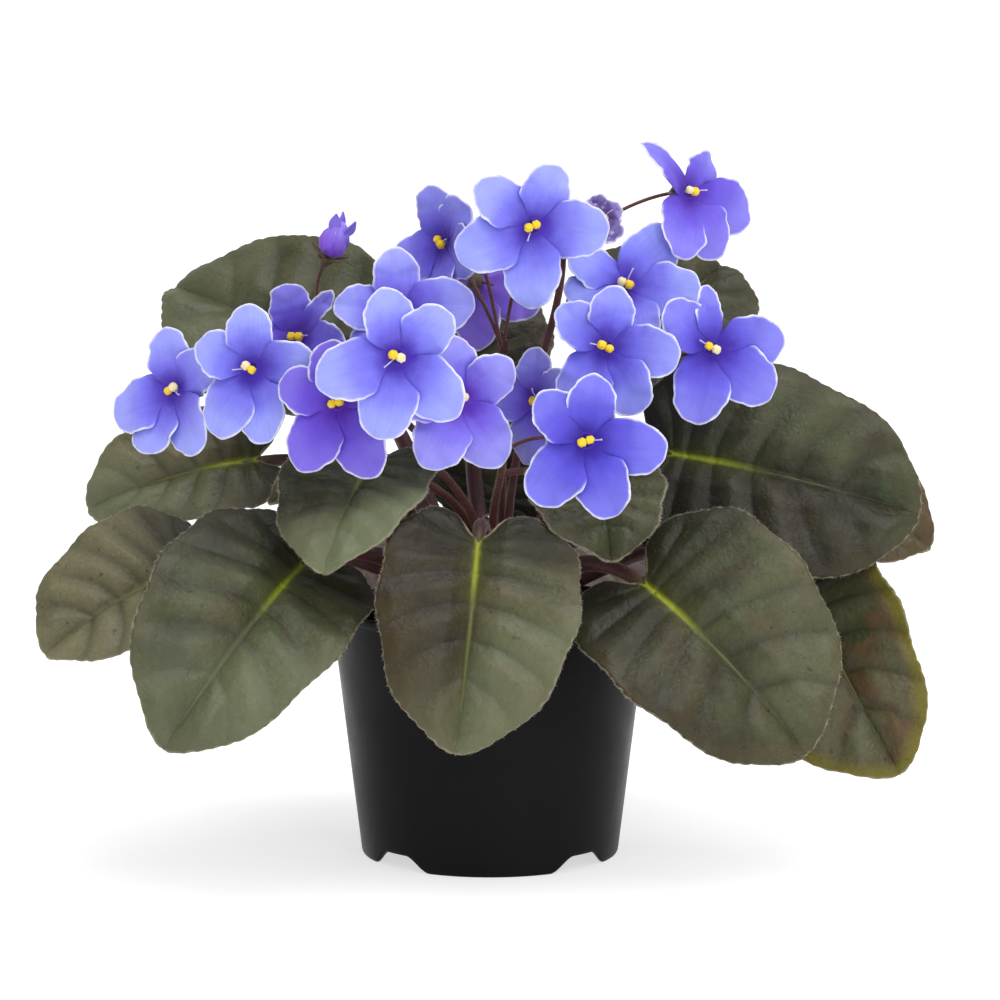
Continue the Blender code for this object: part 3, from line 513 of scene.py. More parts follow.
def tube(path, radii, sides):
    """A round tube along a path, closed at both ends: its points, quads and end triangles."""
    path = np.asarray(path, float)
    radii = np.broadcast_to(np.asarray(radii, float), len(path))
    _, side, up = frames_along(path)
    turn = np.linspace(0.0, math.tau, sides, endpoint=False)
    ring = side[:, None] * np.cos(turn)[None, :, None] + up[:, None] * np.sin(turn)[None, :, None]
    points = (path[:, None] + ring * radii[:, None, None]).reshape(-1, 3)
    index = np.arange(len(path) * sides).reshape(len(path), sides)
    after = np.roll(index, -1, axis=1)
    quads = np.stack([index[:-1], after[:-1], after[1:], index[1:]], -1).reshape(-1, 4)
    start, end = len(points), len(points) + 1
    ends = np.concatenate([
        np.stack([np.full(sides, start), after[0], index[0]], -1),
        np.stack([np.full(sides, end), index[-1], after[-1]], -1),
    ])
    return np.concatenate([points, path[:1], path[-1:]]), quads, ends


def turned_rings(profile, steps):
    """Points and quads of a profile turned about Z. The profile runs down its outer side."""
    profile = np.asarray(profile, float)
    turn = np.linspace(0.0, math.tau, steps, endpoint=False)
    points = np.stack([
        profile[:, :1] * np.cos(turn),
        profile[:, :1] * np.sin(turn),
        np.repeat(profile[:, 1:], steps, axis=1),
    ], -1)
    index = np.arange(len(profile) * steps).reshape(len(profile), steps)
    after = np.roll(index, -1, axis=1)
    quads = np.stack([index[:-1], index[1:], after[1:], after[:-1]], -1).reshape(-1, 4)
    return points, quads


def hairs(roots, directions, lengths, width):
    """Tapering hairs as closed three-sided spikes."""
    count = len(roots)
    ahead = unit(directions)
    side = unit(np.cross(ahead, (0.37, 0.11, 0.92)))
    up = np.cross(ahead, side)
    turns = (0.0, math.tau / 3, math.tau / 1.5)
    corners = [roots + width * (side * math.cos(turn) + up * math.sin(turn)) for turn in turns]
    tip = roots + ahead * np.asarray(lengths)[:, None]
    points = np.stack([*corners, tip], axis=1).reshape(-1, 3)
    first = np.arange(count) * 4
    spike = np.array(((0, 1, 3), (1, 2, 3), (2, 0, 3), (0, 2, 1)))
    return points, (spike[:, None] + first[:, None]).reshape(-1, 3)


def bezier(start, start_pull, end_pull, end, steps):
    """Points along a cubic curve."""
    t = np.linspace(0.0, 1.0, steps + 1)[:, None]
    s = 1.0 - t
    return s**3 * start + 3 * s * s * t * start_pull + 3 * s * t * t * end_pull + t**3 * end


def ball(rows, columns):
    """Directions and quads of a unit ball with its poles on Z."""
    down = np.linspace(0.0, math.pi, rows + 1)
    points, quads = turned_rings(np.stack([np.sin(down), np.cos(down)], -1), columns)
    return points.reshape(-1, 3), quads


def waves(points, scale, seed, octaves=3):
    """Smooth noise from -1 to 1 as a sum of sines in fixed directions."""
    draw = np.random.default_rng(seed)
    total, weight = np.zeros(points.shape[:-1]), 0.0
    for octave in range(octaves):
        for _ in range(4):
            direction = unit(draw.normal(size=3)) / scale * math.tau * 2.0**octave * draw.uniform(0.7, 1.3)
            total += np.sin(points @ direction + draw.uniform(0, math.tau)) * 0.5**octave
        weight += 4 * 0.5**octave
    return total / weight * 1.8


# Materials


def feed(tree, socket, value):
    """Links value to socket if it is a socket, and otherwise sets it."""
    if isinstance(value, bpy.types.NodeSocket):
        tree.links.new(value, socket)
    elif hasattr(value, "__len__"):
        given = tuple(value)
        socket.default_value = (*given, 1.0) if len(given) == 3 and len(socket.default_value) == 4 else given
    else:
        socket.default_value = value


class Nodes:
    """Short ways to add the nodes that a finish is put together from."""

    def __init__(self, tree, made=None):
        self.tree, self.made, self.shader = tree, made, tree.nodes.get("Principled BSDF")

    def add(self, kind, settings=None, **inputs):
        node = self.tree.nodes.new("ShaderNode" + kind)
        for name, value in (settings or {}).items():
            setattr(node, name, value)
        for name, value in inputs.items():
            feed(self.tree, node.inputs[name.replace("_", " ")], value)
        return node

    def give(self, **inputs):
        """Feeds the shader's sockets, and returns the material."""
        for name, value in inputs.items():
            feed(self.tree, self.shader.inputs[name.replace("_", " ")], value)
        return self.made

    def painted(self, name):
        return self.add("Attribute", {"attribute_name": name}).outputs["Fac"]

    def place(self):
        return self.add("TexCoord").outputs["Object"]

    def noise(self, scale, detail=3.0, roughness=0.5, where=None, distortion=0.0):
        where = where or self.place()
        settings = {"Scale": scale, "Detail": detail, "Roughness": roughness, "Distortion": distortion}
        return self.add("TexNoise", Vector=where, **settings).outputs["Fac"]

    def math(self, operation, a, b=0.0, clamp=False):
        node = self.add("Math", {"operation": operation, "use_clamp": clamp})
        feed(self.tree, node.inputs[0], a)
        feed(self.tree, node.inputs[1], b)
        return node.outputs[0]

    def times(self, a, b):
        return self.math("MULTIPLY", a, b)

    def plus(self, a, b, clamp=False):
        return self.math("ADD", a, b, clamp)

    def between(self, value, low, high, start=0.0, end=1.0):
        """Runs smoothly from start to end as value goes from low to high."""
        limits = {"From Min": low, "From Max": high, "To Min": start, "To Max": end}
        node = self.add("MapRange", {"interpolation_type": "SMOOTHSTEP"}, Value=value, **limits)
        return node.outputs["Result"]

    def mix(self, factor, a, b, blend="MIX"):
        node = self.add("Mix", {"data_type": "RGBA", "blend_type": blend})
        for place, value in ((0, factor), (6, a), (7, b)):
            feed(self.tree, node.inputs[place], value)
        return node.outputs[2]

    def over(self, body, colour, mask, weight):
        """Lays a colour over the body where a mask says, at a share of its strength."""
        return self.mix(self.times(mask, weight), body, colour)

    def darker(self, body, mask, factors):
        """Multiplies the body by a colour where a mask says."""
        return self.mix(mask, body, self.mix(1.0, body, factors, "MULTIPLY"))

    def bump(self, height, distance, strength=1.0, **normal):
        node = self.add("Bump", Height=height, Distance=distance, Strength=strength, **normal)
        return node.outputs["Normal"]

    def mottled(self, patches, flecks, amount, colour, patch_colour):
        """A colour with cloudy patches of another, by the mottling group."""
        scales = {"Patch Scale": patches, "Fleck Scale": flecks, "Patch Colour": patch_colour}
        node = self.add("Group", {"node_tree": mottling()}, Amount=amount, Colour=colour, **scales)
        return node.outputs["Colour"]

    def grained(self, fine, coarse, coarse_share, depth, low, high):
        """Gives the shader the grain's relief, and a roughness between low and high that follows it."""
        scales = {"Fine Scale": fine, "Coarse Scale": coarse, "Coarse Share": coarse_share}
        height = self.add("Group", {"node_tree": grain()}, **scales).outputs["Height"]
        self.give(Normal=self.bump(height, depth), Roughness=self.between(height, 0.35, 0.65, low, high))


def finish(name, **constants):
    """The nodes of a new material with one Principled shader, whose own sockets hold the constants."""
    made = bpy.data.materials.new(name)
    made.use_nodes = True
    nodes = Nodes(made.node_tree, made)
    nodes.give(**constants)
    return nodes


def soft_finish(name, specular, sheen, sheen_roughness, sheen_tint):
    """A finish with the faint sheen of fine hairs."""
    return finish(
        name,
        Specular_IOR_Level=specular,
        Sheen_Weight=sheen,
        Sheen_Roughness=sheen_roughness,
        Sheen_Tint=sheen_tint,
    )


def effect(name, inputs, output, wire):
    """A shader node group with named sockets, made and wired when it is first asked for."""
    group = bpy.data.node_groups.get(name)
    if group:
        return group
    group = bpy.data.node_groups.new(name, "ShaderNodeTree")
    for label, default in inputs.items():
        kind = "NodeSocketFloat" if isinstance(default, float) else "NodeSocketColor"
        socket = group.interface.new_socket(name=label, in_out="INPUT", socket_type=kind)
        socket.default_value = default
    group.interface.new_socket(name=output[0], in_out="OUTPUT", socket_type=output[1])
    given = group.nodes.new("NodeGroupInput").outputs
    put_out = group.nodes.new("NodeGroupOutput").inputs
    feed(group, put_out[output[0]], wire(Nodes(group), given))
    return group


def mottling():
    """Cloudy patches of a second colour over a first, with finer flecks in them."""

    def wire(nodes, given):
        patches = nodes.noise(given["Patch Scale"], 4.0, 0.55)
        flecks = nodes.noise(given["Fleck Scale"], 2.0, 0.6)
        blotch = nodes.between(nodes.plus(patches, nodes.times(flecks, 0.18)), 0.42, 0.78)
        return nodes.over(given["Colour"], given["Patch Colour"], blotch, given["Amount"])

    inputs = {
        "Patch Scale": 60.0,
        "Fleck Scale": 900.0,
        "Amount": 0.5,
        "Colour": (0.5, 0.5, 0.5, 1.0),
        "Patch Colour": (0.2, 0.2, 0.2, 1.0),
    }
    return effect("mottling", inputs, ("Colour", "NodeSocketColor"), wire)


def grain():
    """Fine and coarse relief for a Bump node, and the same relief as a mask for roughness."""

    def wire(nodes, given):
        fine = nodes.noise(given["Fine Scale"], 2.0, 0.6)
        coarse = nodes.noise(given["Coarse Scale"], 3.0, 0.5)
        rest = nodes.times(fine, nodes.math("SUBTRACT", 1.0, given["Coarse Share"]))
        return nodes.plus(nodes.times(coarse, given["Coarse Share"]), rest)

    inputs = {"Fine Scale": 2500.0, "Coarse Scale": 300.0, "Coarse Share": 0.5}
    return effect("grain", inputs, ("Height", "NodeSocketFloat"), wire)


# Leaves


def lobe_edge(t):
    """The half outline of a blade at t from 0 to 1: (share of length, share of half width). Past both ends it
    goes on along the other half, so that notch and tip are round."""
    last = len(LOBE_OUTLINE) - 1
    k = np.clip((t * last).astype(int), 0, last - 1)
    f = (t * last - k)[..., None]

    def margin(j):
        row = LOBE_OUTLINE[last - np.abs(last - np.abs(j))]
        return np.stack([row[..., 0], np.where((j < 0) | (j > last), -row[..., 1], row[..., 1])], -1)

    a, b, c, d = (margin(k + i) for i in (-1, 0, 1, 2))
    return 0.5 * ((2 * b) + (c - a) * f + (2 * a - 5 * b + 4 * c - d) * f**2 + (3 * b - a - 3 * c + d) * f**3)


def axes_of(direction, roll):
    """A blade's axes from its length direction: x along it, y to its left, z its upper side."""
    x = unit(direction)
    up = unit(UP - x * x[2])
    z = up * math.cos(roll) + np.cross(x, up) * math.sin(roll)
    return x, np.cross(z, x), z


class Blade:
    """One leaf's blade as a grid of points, with the distances in millimetres that its looks need."""

    def __init__(self, leaf, seed, sizes, rows=112, columns=54):
        self.leaf = leaf
        self.base, self.tip = np.array(leaf.base) * MM, np.array(leaf.tip) * MM
        self.length = float(np.linalg.norm(self.tip - self.base))
        self.x_axis, self.y_axis, self.z_axis = axes_of(self.tip - self.base, math.radians(leaf.roll))
        self.seed = seed
        along, spread = lattice(rows + 1, columns + 1)
        self.along = along = along * LAST_ROW
        self.across = across = np.sign(spread) * np.abs(spread) ** COLUMN_CROWDING
        flat = self.flat(along, across)
        self.x, self.y = flat[..., 0] / self.length, flat[..., 1] / MM
        self.edge = self.distance_to_margin(flat)
        self.vein, self.strength = self.distance_to_veins(flat)
        self.cell = self.cells(flat, sizes.cell)
        self.rib = bell(self.y, 0.9) * smoothstep(0.42, 0.12, self.x)
        teeth = self.teeth(sizes)
        self.grid = spanned(self.place(along, across, teeth), (self.z_axis, self.relief(sizes)))
        self.normal, self.turned = normals_of(self.grid, self.z_axis)

    def half(self, across):
        return np.where(across >= 0, self.leaf.left, self.leaf.right) * MM

    def shares(self, along, across):
        """Place in the blade's plane: share of the length and of the half width."""
        edge = lobe_edge(along)
        middle = along**MIDDLE_POWER
        t = np.abs(across)
        return middle + (edge[..., 0] - middle) * t, edge[..., 1] * t * np.sign(across)

    def flat(self, along, across):
        x, y = self.shares(along, across)
        return np.stack([x * self.length, y * self.half(across)], -1)

    def place(self, along, across, teeth=0.0):
        """Points of the blade's middle surface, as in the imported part, with teeth added to its margin."""
        edge = lobe_edge(along)
        x, y = self.shares(along, across)
        t, side = np.abs(across), np.where(across >= 0, 1.0, -1.0)
        half = self.half(across)
        fade = np.minimum(edge[..., 1] * 3.0, 1.0)
        out = unit(np.stack([edge[..., 0] - 0.4, edge[..., 1] * side], -1))
        out = out * (CRENATION * np.cos(math.pi * along * BLADE_WAVES) * t**6 * fade + teeth)[..., None]
        droop = self.leaf.arch * self.length * (1.0 - (2.0 * x - 1.0) ** 2)
        cup = self.leaf.cup * half * (y * y) * 2.0
        wave = 0.035 * self.length * np.sin(9.0 * along + 2.0 * self.seed + 1.3 * side) * t**3 * fade
        fold = 0.10 * half * np.minimum(np.abs(y) * 4.0, 1.0)
        ahead, beside = x * self.length + out[..., 0], y * half + out[..., 1]
        rise = droop + cup + wave + fold
        return spanned(self.base, (self.x_axis, ahead), (self.y_axis, beside), (self.z_axis, rise))

    def teeth(self, sizes):
        """Rounded teeth at an even spacing along the margin."""
        margin = self.flat(self.along[:, 0], np.ones(len(self.along)))
        run = np.concatenate([[0.0], np.cumsum(np.linalg.norm(np.diff(margin, axis=0), axis=1))])
        count = max(round(run[-1] / sizes.tooth_spacing), 1)
        phase = run / run[-1] * count
        draw = np.random.default_rng(100 + self.seed)
        heights = draw.uniform(0.6, 1.3, count + 2)
        tooth = np.abs(np.sin(math.pi * phase)) ** 0.7 * heights[phase.astype(int)] - 0.5
        return sizes.tooth * tooth[:, None] * smoothstep(0.80, 1.0, np.abs(self.across))

    def distance_to_margin(self, flat):
        t = np.linspace(0.0, 1.0, 150)
        margin = np.concatenate([self.flat(t, np.ones(150)), self.flat(t, -np.ones(150))])
        gaps = np.linalg.norm(flat[..., None, :] - margin, axis=-1)
        return gaps.min(axis=-1) / MM

    def veins(self):
        """The midrib and side veins as lines in the blade's plane, each with its strength at both ends."""
        share = np.linspace(0.0, 1.0, 14)[:, None]
        lines = [(np.array((0.0, 0.0)) + share * np.array((0.93 * self.length, 0.0)), 1.0, 0.45)]
        for side in (1.0, -1.0):
            half = (self.leaf.left if side > 0 else self.leaf.right) * MM
            for start, place in SIDE_VEINS:
                edge = lobe_edge(np.array([place]))[0]
                a = np.array((start * self.length, 0.0))
                c = np.array((edge[0] * self.length, edge[1] * side * half)) * 0.985
                b = np.array((a[0] + 0.30 * (c[0] - a[0]), 0.58 * c[1]))
                lines.append(((1 - share) ** 2 * a + 2 * share * (1 - share) * b + share**2 * c, 0.85, 0.30))
        return lines

    def distance_to_veins(self, flat):
        """Millimetres to the nearest vein, and that vein's strength there."""
        nearest = np.full(flat.shape[:2], 1e3)
        strength = np.zeros(flat.shape[:2])
        for line, first, last in self.veins():
            for k in range(len(line) - 1):
                a, b = line[k], line[k + 1]
                run = b - a
                t = np.clip(((flat - a) @ run) / (run @ run), 0.0, 1.0)
                gap = np.linalg.norm(flat - (a + t[..., None] * run), axis=-1) / MM
                here = first + (last - first) * (k + t) / (len(line) - 1)
                closer = gap < nearest
                nearest = np.where(closer, gap, nearest)
                strength = np.where(closer, here, strength)
        return nearest, strength

    def cells(self, flat, cell):
        """0 on the borders of small irregular cells and 1 inside them."""
        draw = np.random.default_rng(300 + self.seed)
        low, high = flat.min(axis=(0, 1)) - cell, flat.max(axis=(0, 1)) + cell
        across, along = np.meshgrid(np.arange(low[1], high[1], cell), np.arange(low[0], high[0], cell))
        centres = np.stack([along.ravel(), across.ravel()], -1)
        centres = centres + draw.uniform(-0.38, 0.38, centres.shape) * cell
        gaps = np.partition(np.linalg.norm(flat[..., None, :] - centres, axis=-1), 1, axis=-1)
        return smoothstep(0.0, 0.35 * cell, gaps[..., 1] - gaps[..., 0])

    def relief(self, sizes):
        inside = smoothstep(0.0, 5.0, self.edge)
        pillow = sizes.quilting * (1.0 - bell(self.vein, 4.5)) * inside
        furrow = -sizes.furrow * bell(self.vein, 0.8) * self.strength * (1.0 - self.rib)
        small = sizes.cell_height * self.cell * inside
        swell = 0.5 * MM * waves(self.place(self.along, self.across), 26.0 * MM, 500 + self.seed, 1)
        return pillow + furrow + small + swell * inside

    def add_to(self, shape, sizes):
        name, x, across = self.leaf.name, self.x, self.across
        thin = sizes.thickness / 2.0 * (0.30 + 0.70 * np.minimum(self.edge / 0.9, 1.0) ** 0.5)
        ribs = 0.35 * MM * bell(self.vein, 0.7) * self.strength
        points, faces = thickened(self.grid, self.normal, self.turned, thin, thin + ribs)
        # right_base is where painted shade darkens a blade near its base on one half
        right_base = smoothstep(0.15, -0.25, across) * smoothstep(1.30, 0.45, x)
        painted = {
            "edge": self.edge,
            "vein": bell(self.vein, 0.9) * self.strength,
            # painted shade in the furrows along the sunken veins
            "hollow": bell(self.vein, 2.6) * self.strength,
            "rib": self.rib,
            "dusk": SHADE_ALL_OVER.get(name, 0.0) + BASE_SHADE.get(name, USUAL_BASE_SHADE) * right_base,
            "gleam": TIP_SHEEN.get(name, 0.0) * smoothstep(0.35, 0.75, x + 0.25 * across),
            "glow": bell(self.y, 5.0) * smoothstep(0.50, 0.10, x),
            "middle": bell(self.y, 0.45) * smoothstep(0.25, 0.50, x) * (1.0 - x),
            "shade": smoothstep(0.42, -0.15, x + 0.10 * np.abs(across)),
        }
        own = {"gold": self.leaf.gold, "tan": self.leaf.tan, "bronze": self.leaf.bronze}
        under = np.repeat((0.0, 1.0), x.size)
        shape.add(points, faces, under=under, **own, **{key: both(values) for key, values in painted.items()})

    def hairs_into(self, shape, sizes):
        """Hairs that fringe the margin and stand on both faces."""
        draw = np.random.default_rng(700 + self.seed)
        rows, columns = self.grid.shape[:2]
        count = sizes.margin_hairs
        row = draw.integers(2, rows - 1, count)
        column = np.where(draw.random(count) < 0.5, 0, columns - 1)
        inner = np.where(column == 0, 1, columns - 2)
        root = self.grid[row, column]
        root = root + (self.grid[row - 1, column] - root) * draw.random((count, 1))
        out = unit(self.grid[row, column] - self.grid[row, inner]) + 0.45 * draw.normal(size=(count, 3))
        shape.add(*hairs(root, out, sizes.hair_length * draw.uniform(0.4, 1.25, count), sizes.hair_width))
        count = sizes.blade_hairs
        row, column = draw.integers(0, rows, count), draw.integers(0, columns, count)
        side = np.where(draw.random(count) < 0.75, 1.0, -1.0)[:, None]
        normal = self.normal[row, column] * side
        root = self.grid[row, column] + normal * sizes.thickness * 0.4
        lean = normal + 0.35 * self.x_axis + 0.4 * draw.normal(size=(count, 3))
        lengths = sizes.hair_length * draw.uniform(0.3, 0.9, count)
        shape.add(*hairs(root, lean, lengths, sizes.hair_width * 0.8))


def petiole_path(blade, steps=26):
    """The petiole's centre line from inside the crown to the blade, and on under the blade as its midrib."""
    leaf, base = blade.leaf, blade.base
    outward = unit((base[0], base[1], 0.0))
    root = outward * (CROWN_RADIUS + SEAT_GAP + PETIOLE_RADIUS * 0.68) + leaf.root * MM * UP
    reach = float(np.linalg.norm(base - root))
    onward = unit(blade.x_axis + blade.z_axis * 4.0 * leaf.arch)
    rise = unit(outward + 0.9 * UP)
    path = bezier(root, root + rise * reach * 0.40, base - onward * reach * 0.40, base, steps)
    share = np.linspace(0.0, 1.0, steps + 1)
    path = path - blade.z_axis * (PETIOLE_RADIUS * 0.75 * share**4)[:, None]
    radii = PETIOLE_RADIUS * (1.0 - 0.15 * share + 0.35 * np.sin(math.pi * share))
    seat = root - rise * 2.5 * MM
    path, radii = np.concatenate([[seat], path]), np.concatenate([[PETIOLE_RADIUS * 1.05], radii])
    rib = np.linspace(0.0, 1.0, 15)[1:]
    along = (0.86 * rib) ** (1 / MIDDLE_POWER)
    depth = PETIOLE_RADIUS * 0.72 * (1.0 - rib) ** 1.5 + 0.15 * MM
    middle = blade.place(along, np.zeros(len(rib))) - blade.z_axis * depth[:, None]
    rib_radii = PETIOLE_RADIUS * (0.80 * (1.0 - rib) ** 1.2 + 0.14)
    return np.concatenate([path, middle]), np.concatenate([radii, rib_radii])


def leaf_finish(sizes):
    nodes = soft_finish("leaf_blade", 0.30, 0.03, 0.40, (0.75, 0.8, 0.7))
    painted, noise, between, mix, over = nodes.painted, nodes.noise, nodes.between, nodes.mix, nodes.over
    edge, vein = painted("edge"), painted("vein")
    darkest = tinted(sizes.deep, 0.7)
    body = nodes.mottled(48.0, 500.0, 0.95, sizes.olive, sizes.deep)
    body = mix(between(noise(60.0, 2.0), 0.50, 0.72, 0.0, 0.55), body, sizes.fresh)
    body = mix(nodes.times(painted("tan"), between(noise(38.0, 2.0), 0.25, 0.60)), body, sizes.tan)
    patch = between(noise(58.0, 4.0, 0.6, distortion=0.6), 0.44, 0.62)
    browned = nodes.plus(patch, between(edge, 0.5, 9.0, 0.50, 0.0), clamp=True)
    body = over(body, sizes.bronze, browned, painted("bronze"))
    body = over(body, sizes.gold, between(edge, 0.5, 6.0, 1.0, 0.0), painted("gold"))
    # Painted shade in the furrows along the veins
    body = over(body, sizes.deep, painted("hollow"), 0.62)
    fine = nodes.add("TexVoronoi", {"feature": "DISTANCE_TO_EDGE"}, Scale=420.0, Vector=nodes.place())
    fine = fine.outputs["Distance"]
    body = over(body, sizes.deep, between(fine, 0.0, 0.12, 1.0, 0.0), 0.16)
    body = over(body, darkest, vein, 0.42)
    body = mix(between(noise(420.0, 2.0), 0.68, 0.72, 0.0, 0.6), body, darkest)
    pale = tuple(0.45 * (a + b) for a, b in zip(sizes.tan, sizes.olive))
    body = over(body, pale, painted("middle"), 0.35)
    # Painted sheen: paler and greener towards the tip
    body = mix(painted("gleam"), body, sizes.gleam)
    # Painted shade: darker all over some blades, and near the base on one half
    body = nodes.darker(body, painted("dusk"), (0.42, 0.30, 0.20))
    body = over(body, tinted(sizes.deep, 0.35), painted("shade"), 0.88)
    body = over(body, tinted(sizes.rib, 0.35), painted("glow"), 0.22)
    body = mix(painted("rib"), body, sizes.rib)
    body = mix(painted("under"), body, over(sizes.under, (0.20, 0.12, 0.09), vein, 0.6))
    uneven = nodes.plus(edge, nodes.times(noise(500.0, 3.0, 0.65), 0.7))
    body = mix(between(uneven, 0.40, 1.00, 0.85, 0.0), body, sizes.margin)
    height = nodes.plus(nodes.times(between(fine, 0.0, 0.3), 0.7), noise(2600.0, 2.0))
    puckers = nodes.bump(noise(120.0, 3.0, 0.5), 1.1 * MM, 0.45)
    nodes.give(Normal=nodes.bump(height, 0.10 * MM, 0.9, Normal=puckers))
    return nodes.give(Base_Color=body, Roughness=between(noise(90.0, 3.0), 0.3, 0.7, 0.34, 0.58))


def petiole_finish(sizes):
    nodes = soft_finish("petiole", 0.35, 0.15, 0.4, (0.9, 0.7, 0.7))
    body = nodes.mottled(90.0, 1500.0, 0.6, sizes.petiole, tinted(sizes.petiole, 1.6, 0.004))
    nodes.grained(3000.0, 500.0, 0.5, 0.15 * MM, 0.38, 0.55)
    return nodes.give(Base_Color=nodes.over(body, (0.09, 0.10, 0.02), nodes.painted("green"), 0.85))


def hair_finish(name, tint):
    nodes = finish(name, Specular_IOR_Level=0.5, Roughness=0.35)
    return nodes.give(Base_Color=nodes.mix(nodes.noise(300.0, 2.0), tint, tinted(tint, 1.35)))


# Places of the blooms


def facing(bloom):
    """A bloom's axes as the columns of a matrix, y to its top and z out of its face, and its centre."""
    yaw, pitch = math.radians(bloom.yaw), math.radians(bloom.pitch)
    z = np.array((math.sin(yaw) * math.cos(pitch), -math.cos(yaw) * math.cos(pitch), math.sin(pitch)))
    y = unit(UP - z * z[2])
    return np.stack([np.cross(y, z), y, z], axis=1), np.array(bloom.centre) * MM


def placed(points, bloom):
    turn, centre = facing(bloom)
    return points @ turn.T + centre


# Operators


class VIOLET_OT_pot(bpy.types.Operator):
    """Turn the thin plastic pot with its rolled rim, raised floor and four feet"""

    bl_idname = "violet.pot"
    bl_label = "Make the pot"

    def execute(self, context):
        sizes = context.scene.violet_pot
        profile, skirt = self.profile()
        points, quads = turned_rings(profile, sizes.steps)
        turn = np.linspace(0.0, math.tau, sizes.steps, endpoint=False)
        quarter = math.tau / FEET
        swing = np.abs((turn % quarter) - quarter / 2)
        rise = NOTCH_HEIGHT * smoothstep(NOTCH_FOOT_ANGLE, NOTCH_TOP_ANGLE, swing)
        wall = points[:skirt]
        reach = np.where(np.arange(skirt)[:, None] < skirt - 3, NOTCH_FADE, POT_FLOOR_Z)
        lift = np.clip(1.0 - wall[..., 2] / reach, 0.0, 1.0) * rise
        wall[..., 2] += lift
        wall[..., :2] += unit(wall[..., :2]) * (POT_SLOPE * lift)[..., None]
        nodes = finish("black_plastic", Specular_IOR_Level=0.07)
        body = nodes.mottled(30.0, 2200.0, 0.5, sizes.plastic, tinted(sizes.plastic, 1.5))
        nodes.grained(1800.0, 70.0, 0.6, 0.05 * MM, sizes.roughness - 0.05, sizes.roughness + 0.06)
        made = nodes.give(Base_Color=body)
        pot = add_piece("pot_shell", Shape().add(points, quads), [made], ("pot",), weld=True)
        self.drain(pot)
        pot.data.set_sharp_from_angle(angle=math.radians(50))
        return {"FINISHED"}

    def profile(self):
        """The pot's outline from its bore over the rim, down the wall, up to the floor and back to the bore.
        Also how many of its points come before the floor's, which the notches lift."""
        under_lip, floor_top = POT_HEIGHT - POT_RIM_DEPTH, POT_FLOOR_Z + POT_FLOOR
        lip, bore = pot_outer(under_lip) + POT_RIM_LIP, pot_outer(POT_HEIGHT) - POT_WALL
        middle, half, start = (lip + bore) / 2, (lip - bore) / 2, lip - 0.45 * MM
        top, foot, base = POT_HEIGHT - RIM_ROUND, 1.5 * MM, pot_outer(0.0)
        profile = [
            (middle + half * math.cos(turn), top + RIM_ROUND * math.sin(turn))
            for turn in np.linspace(math.pi, 0.0, 7)
        ]
        profile += [
            (lip, under_lip + 0.4 * MM),
            (lip - 0.15 * MM, under_lip + 0.1 * MM),
            (start, under_lip - 0.2 * MM),
        ]
        profile += [
            (start + (pot_outer(foot) - start) * (under_lip - z) / (under_lip - foot), z)
            for z in np.linspace(under_lip - 1.0 * MM, foot, 16)
        ]
        profile += [
            (pot_outer(0.6 * MM) - 0.05 * MM, 0.6 * MM),
            (base - 0.25 * MM, 0.12 * MM),
            (base - 0.5 * MM, 0.0),
            (base - POT_WALL + 0.2 * MM, 0.0),
            (base - POT_WALL, 0.2 * MM),
            (pot_outer(3.0 * MM) - POT_WALL, 3.0 * MM),
            (pot_outer(POT_FLOOR_Z) - POT_WALL - 0.4 * MM, POT_FLOOR_Z),
        ]
        edge = pot_outer(floor_top) - POT_WALL
        closing = [
            (DRAIN_RING + DRAIN_RADIUS + 2 * MM, POT_FLOOR_Z),
            (DRAIN_RING - DRAIN_RADIUS - 2 * MM, POT_FLOOR_Z),
            (0.0, POT_FLOOR_Z),
            (0.0, floor_top),
            (edge - RIM_ROUND, floor_top),
            (edge, floor_top + RIM_ROUND),
            (bore, top),
        ]
        return profile + closing, len(profile)

    def drain(self, pot):
        """Cuts the drain holes through the floor."""
        cutter = Shape()
        for i in range(DRAIN_HOLES):
            foot = DRAIN_RING * heading((i + 0.5) * math.tau / DRAIN_HOLES) + (POT_FLOOR_Z - 2 * MM) * UP
            cutter.add(*tube([foot, foot + (POT_FLOOR + 4 * MM) * UP], DRAIN_RADIUS, 28))
        mesh = bpy.data.meshes.new("drains")
        mesh.from_pydata(np.concatenate(cutter.points), [], cutter.faces)
        drains = bpy.data.objects.new("drains", mesh)
        bpy.context.scene.collection.objects.link(drains)
        cut = pot.modifiers.new("drains", "BOOLEAN")
        cut.operation, cut.solver, cut.object = "DIFFERENCE", "EXACT", drains
        settle(pot)
        bpy.data.objects.remove(drains, do_unlink=True)


def settle(obj):
    """Applies an object's modifiers to its mesh."""
    bpy.context.view_layer.update()
    mesh = bpy.data.meshes.new_from_object(obj.evaluated_get(bpy.context.evaluated_depsgraph_get()))
    obj.modifiers.clear()
    old, obj.data = obj.data, mesh
    bpy.data.meshes.remove(old)


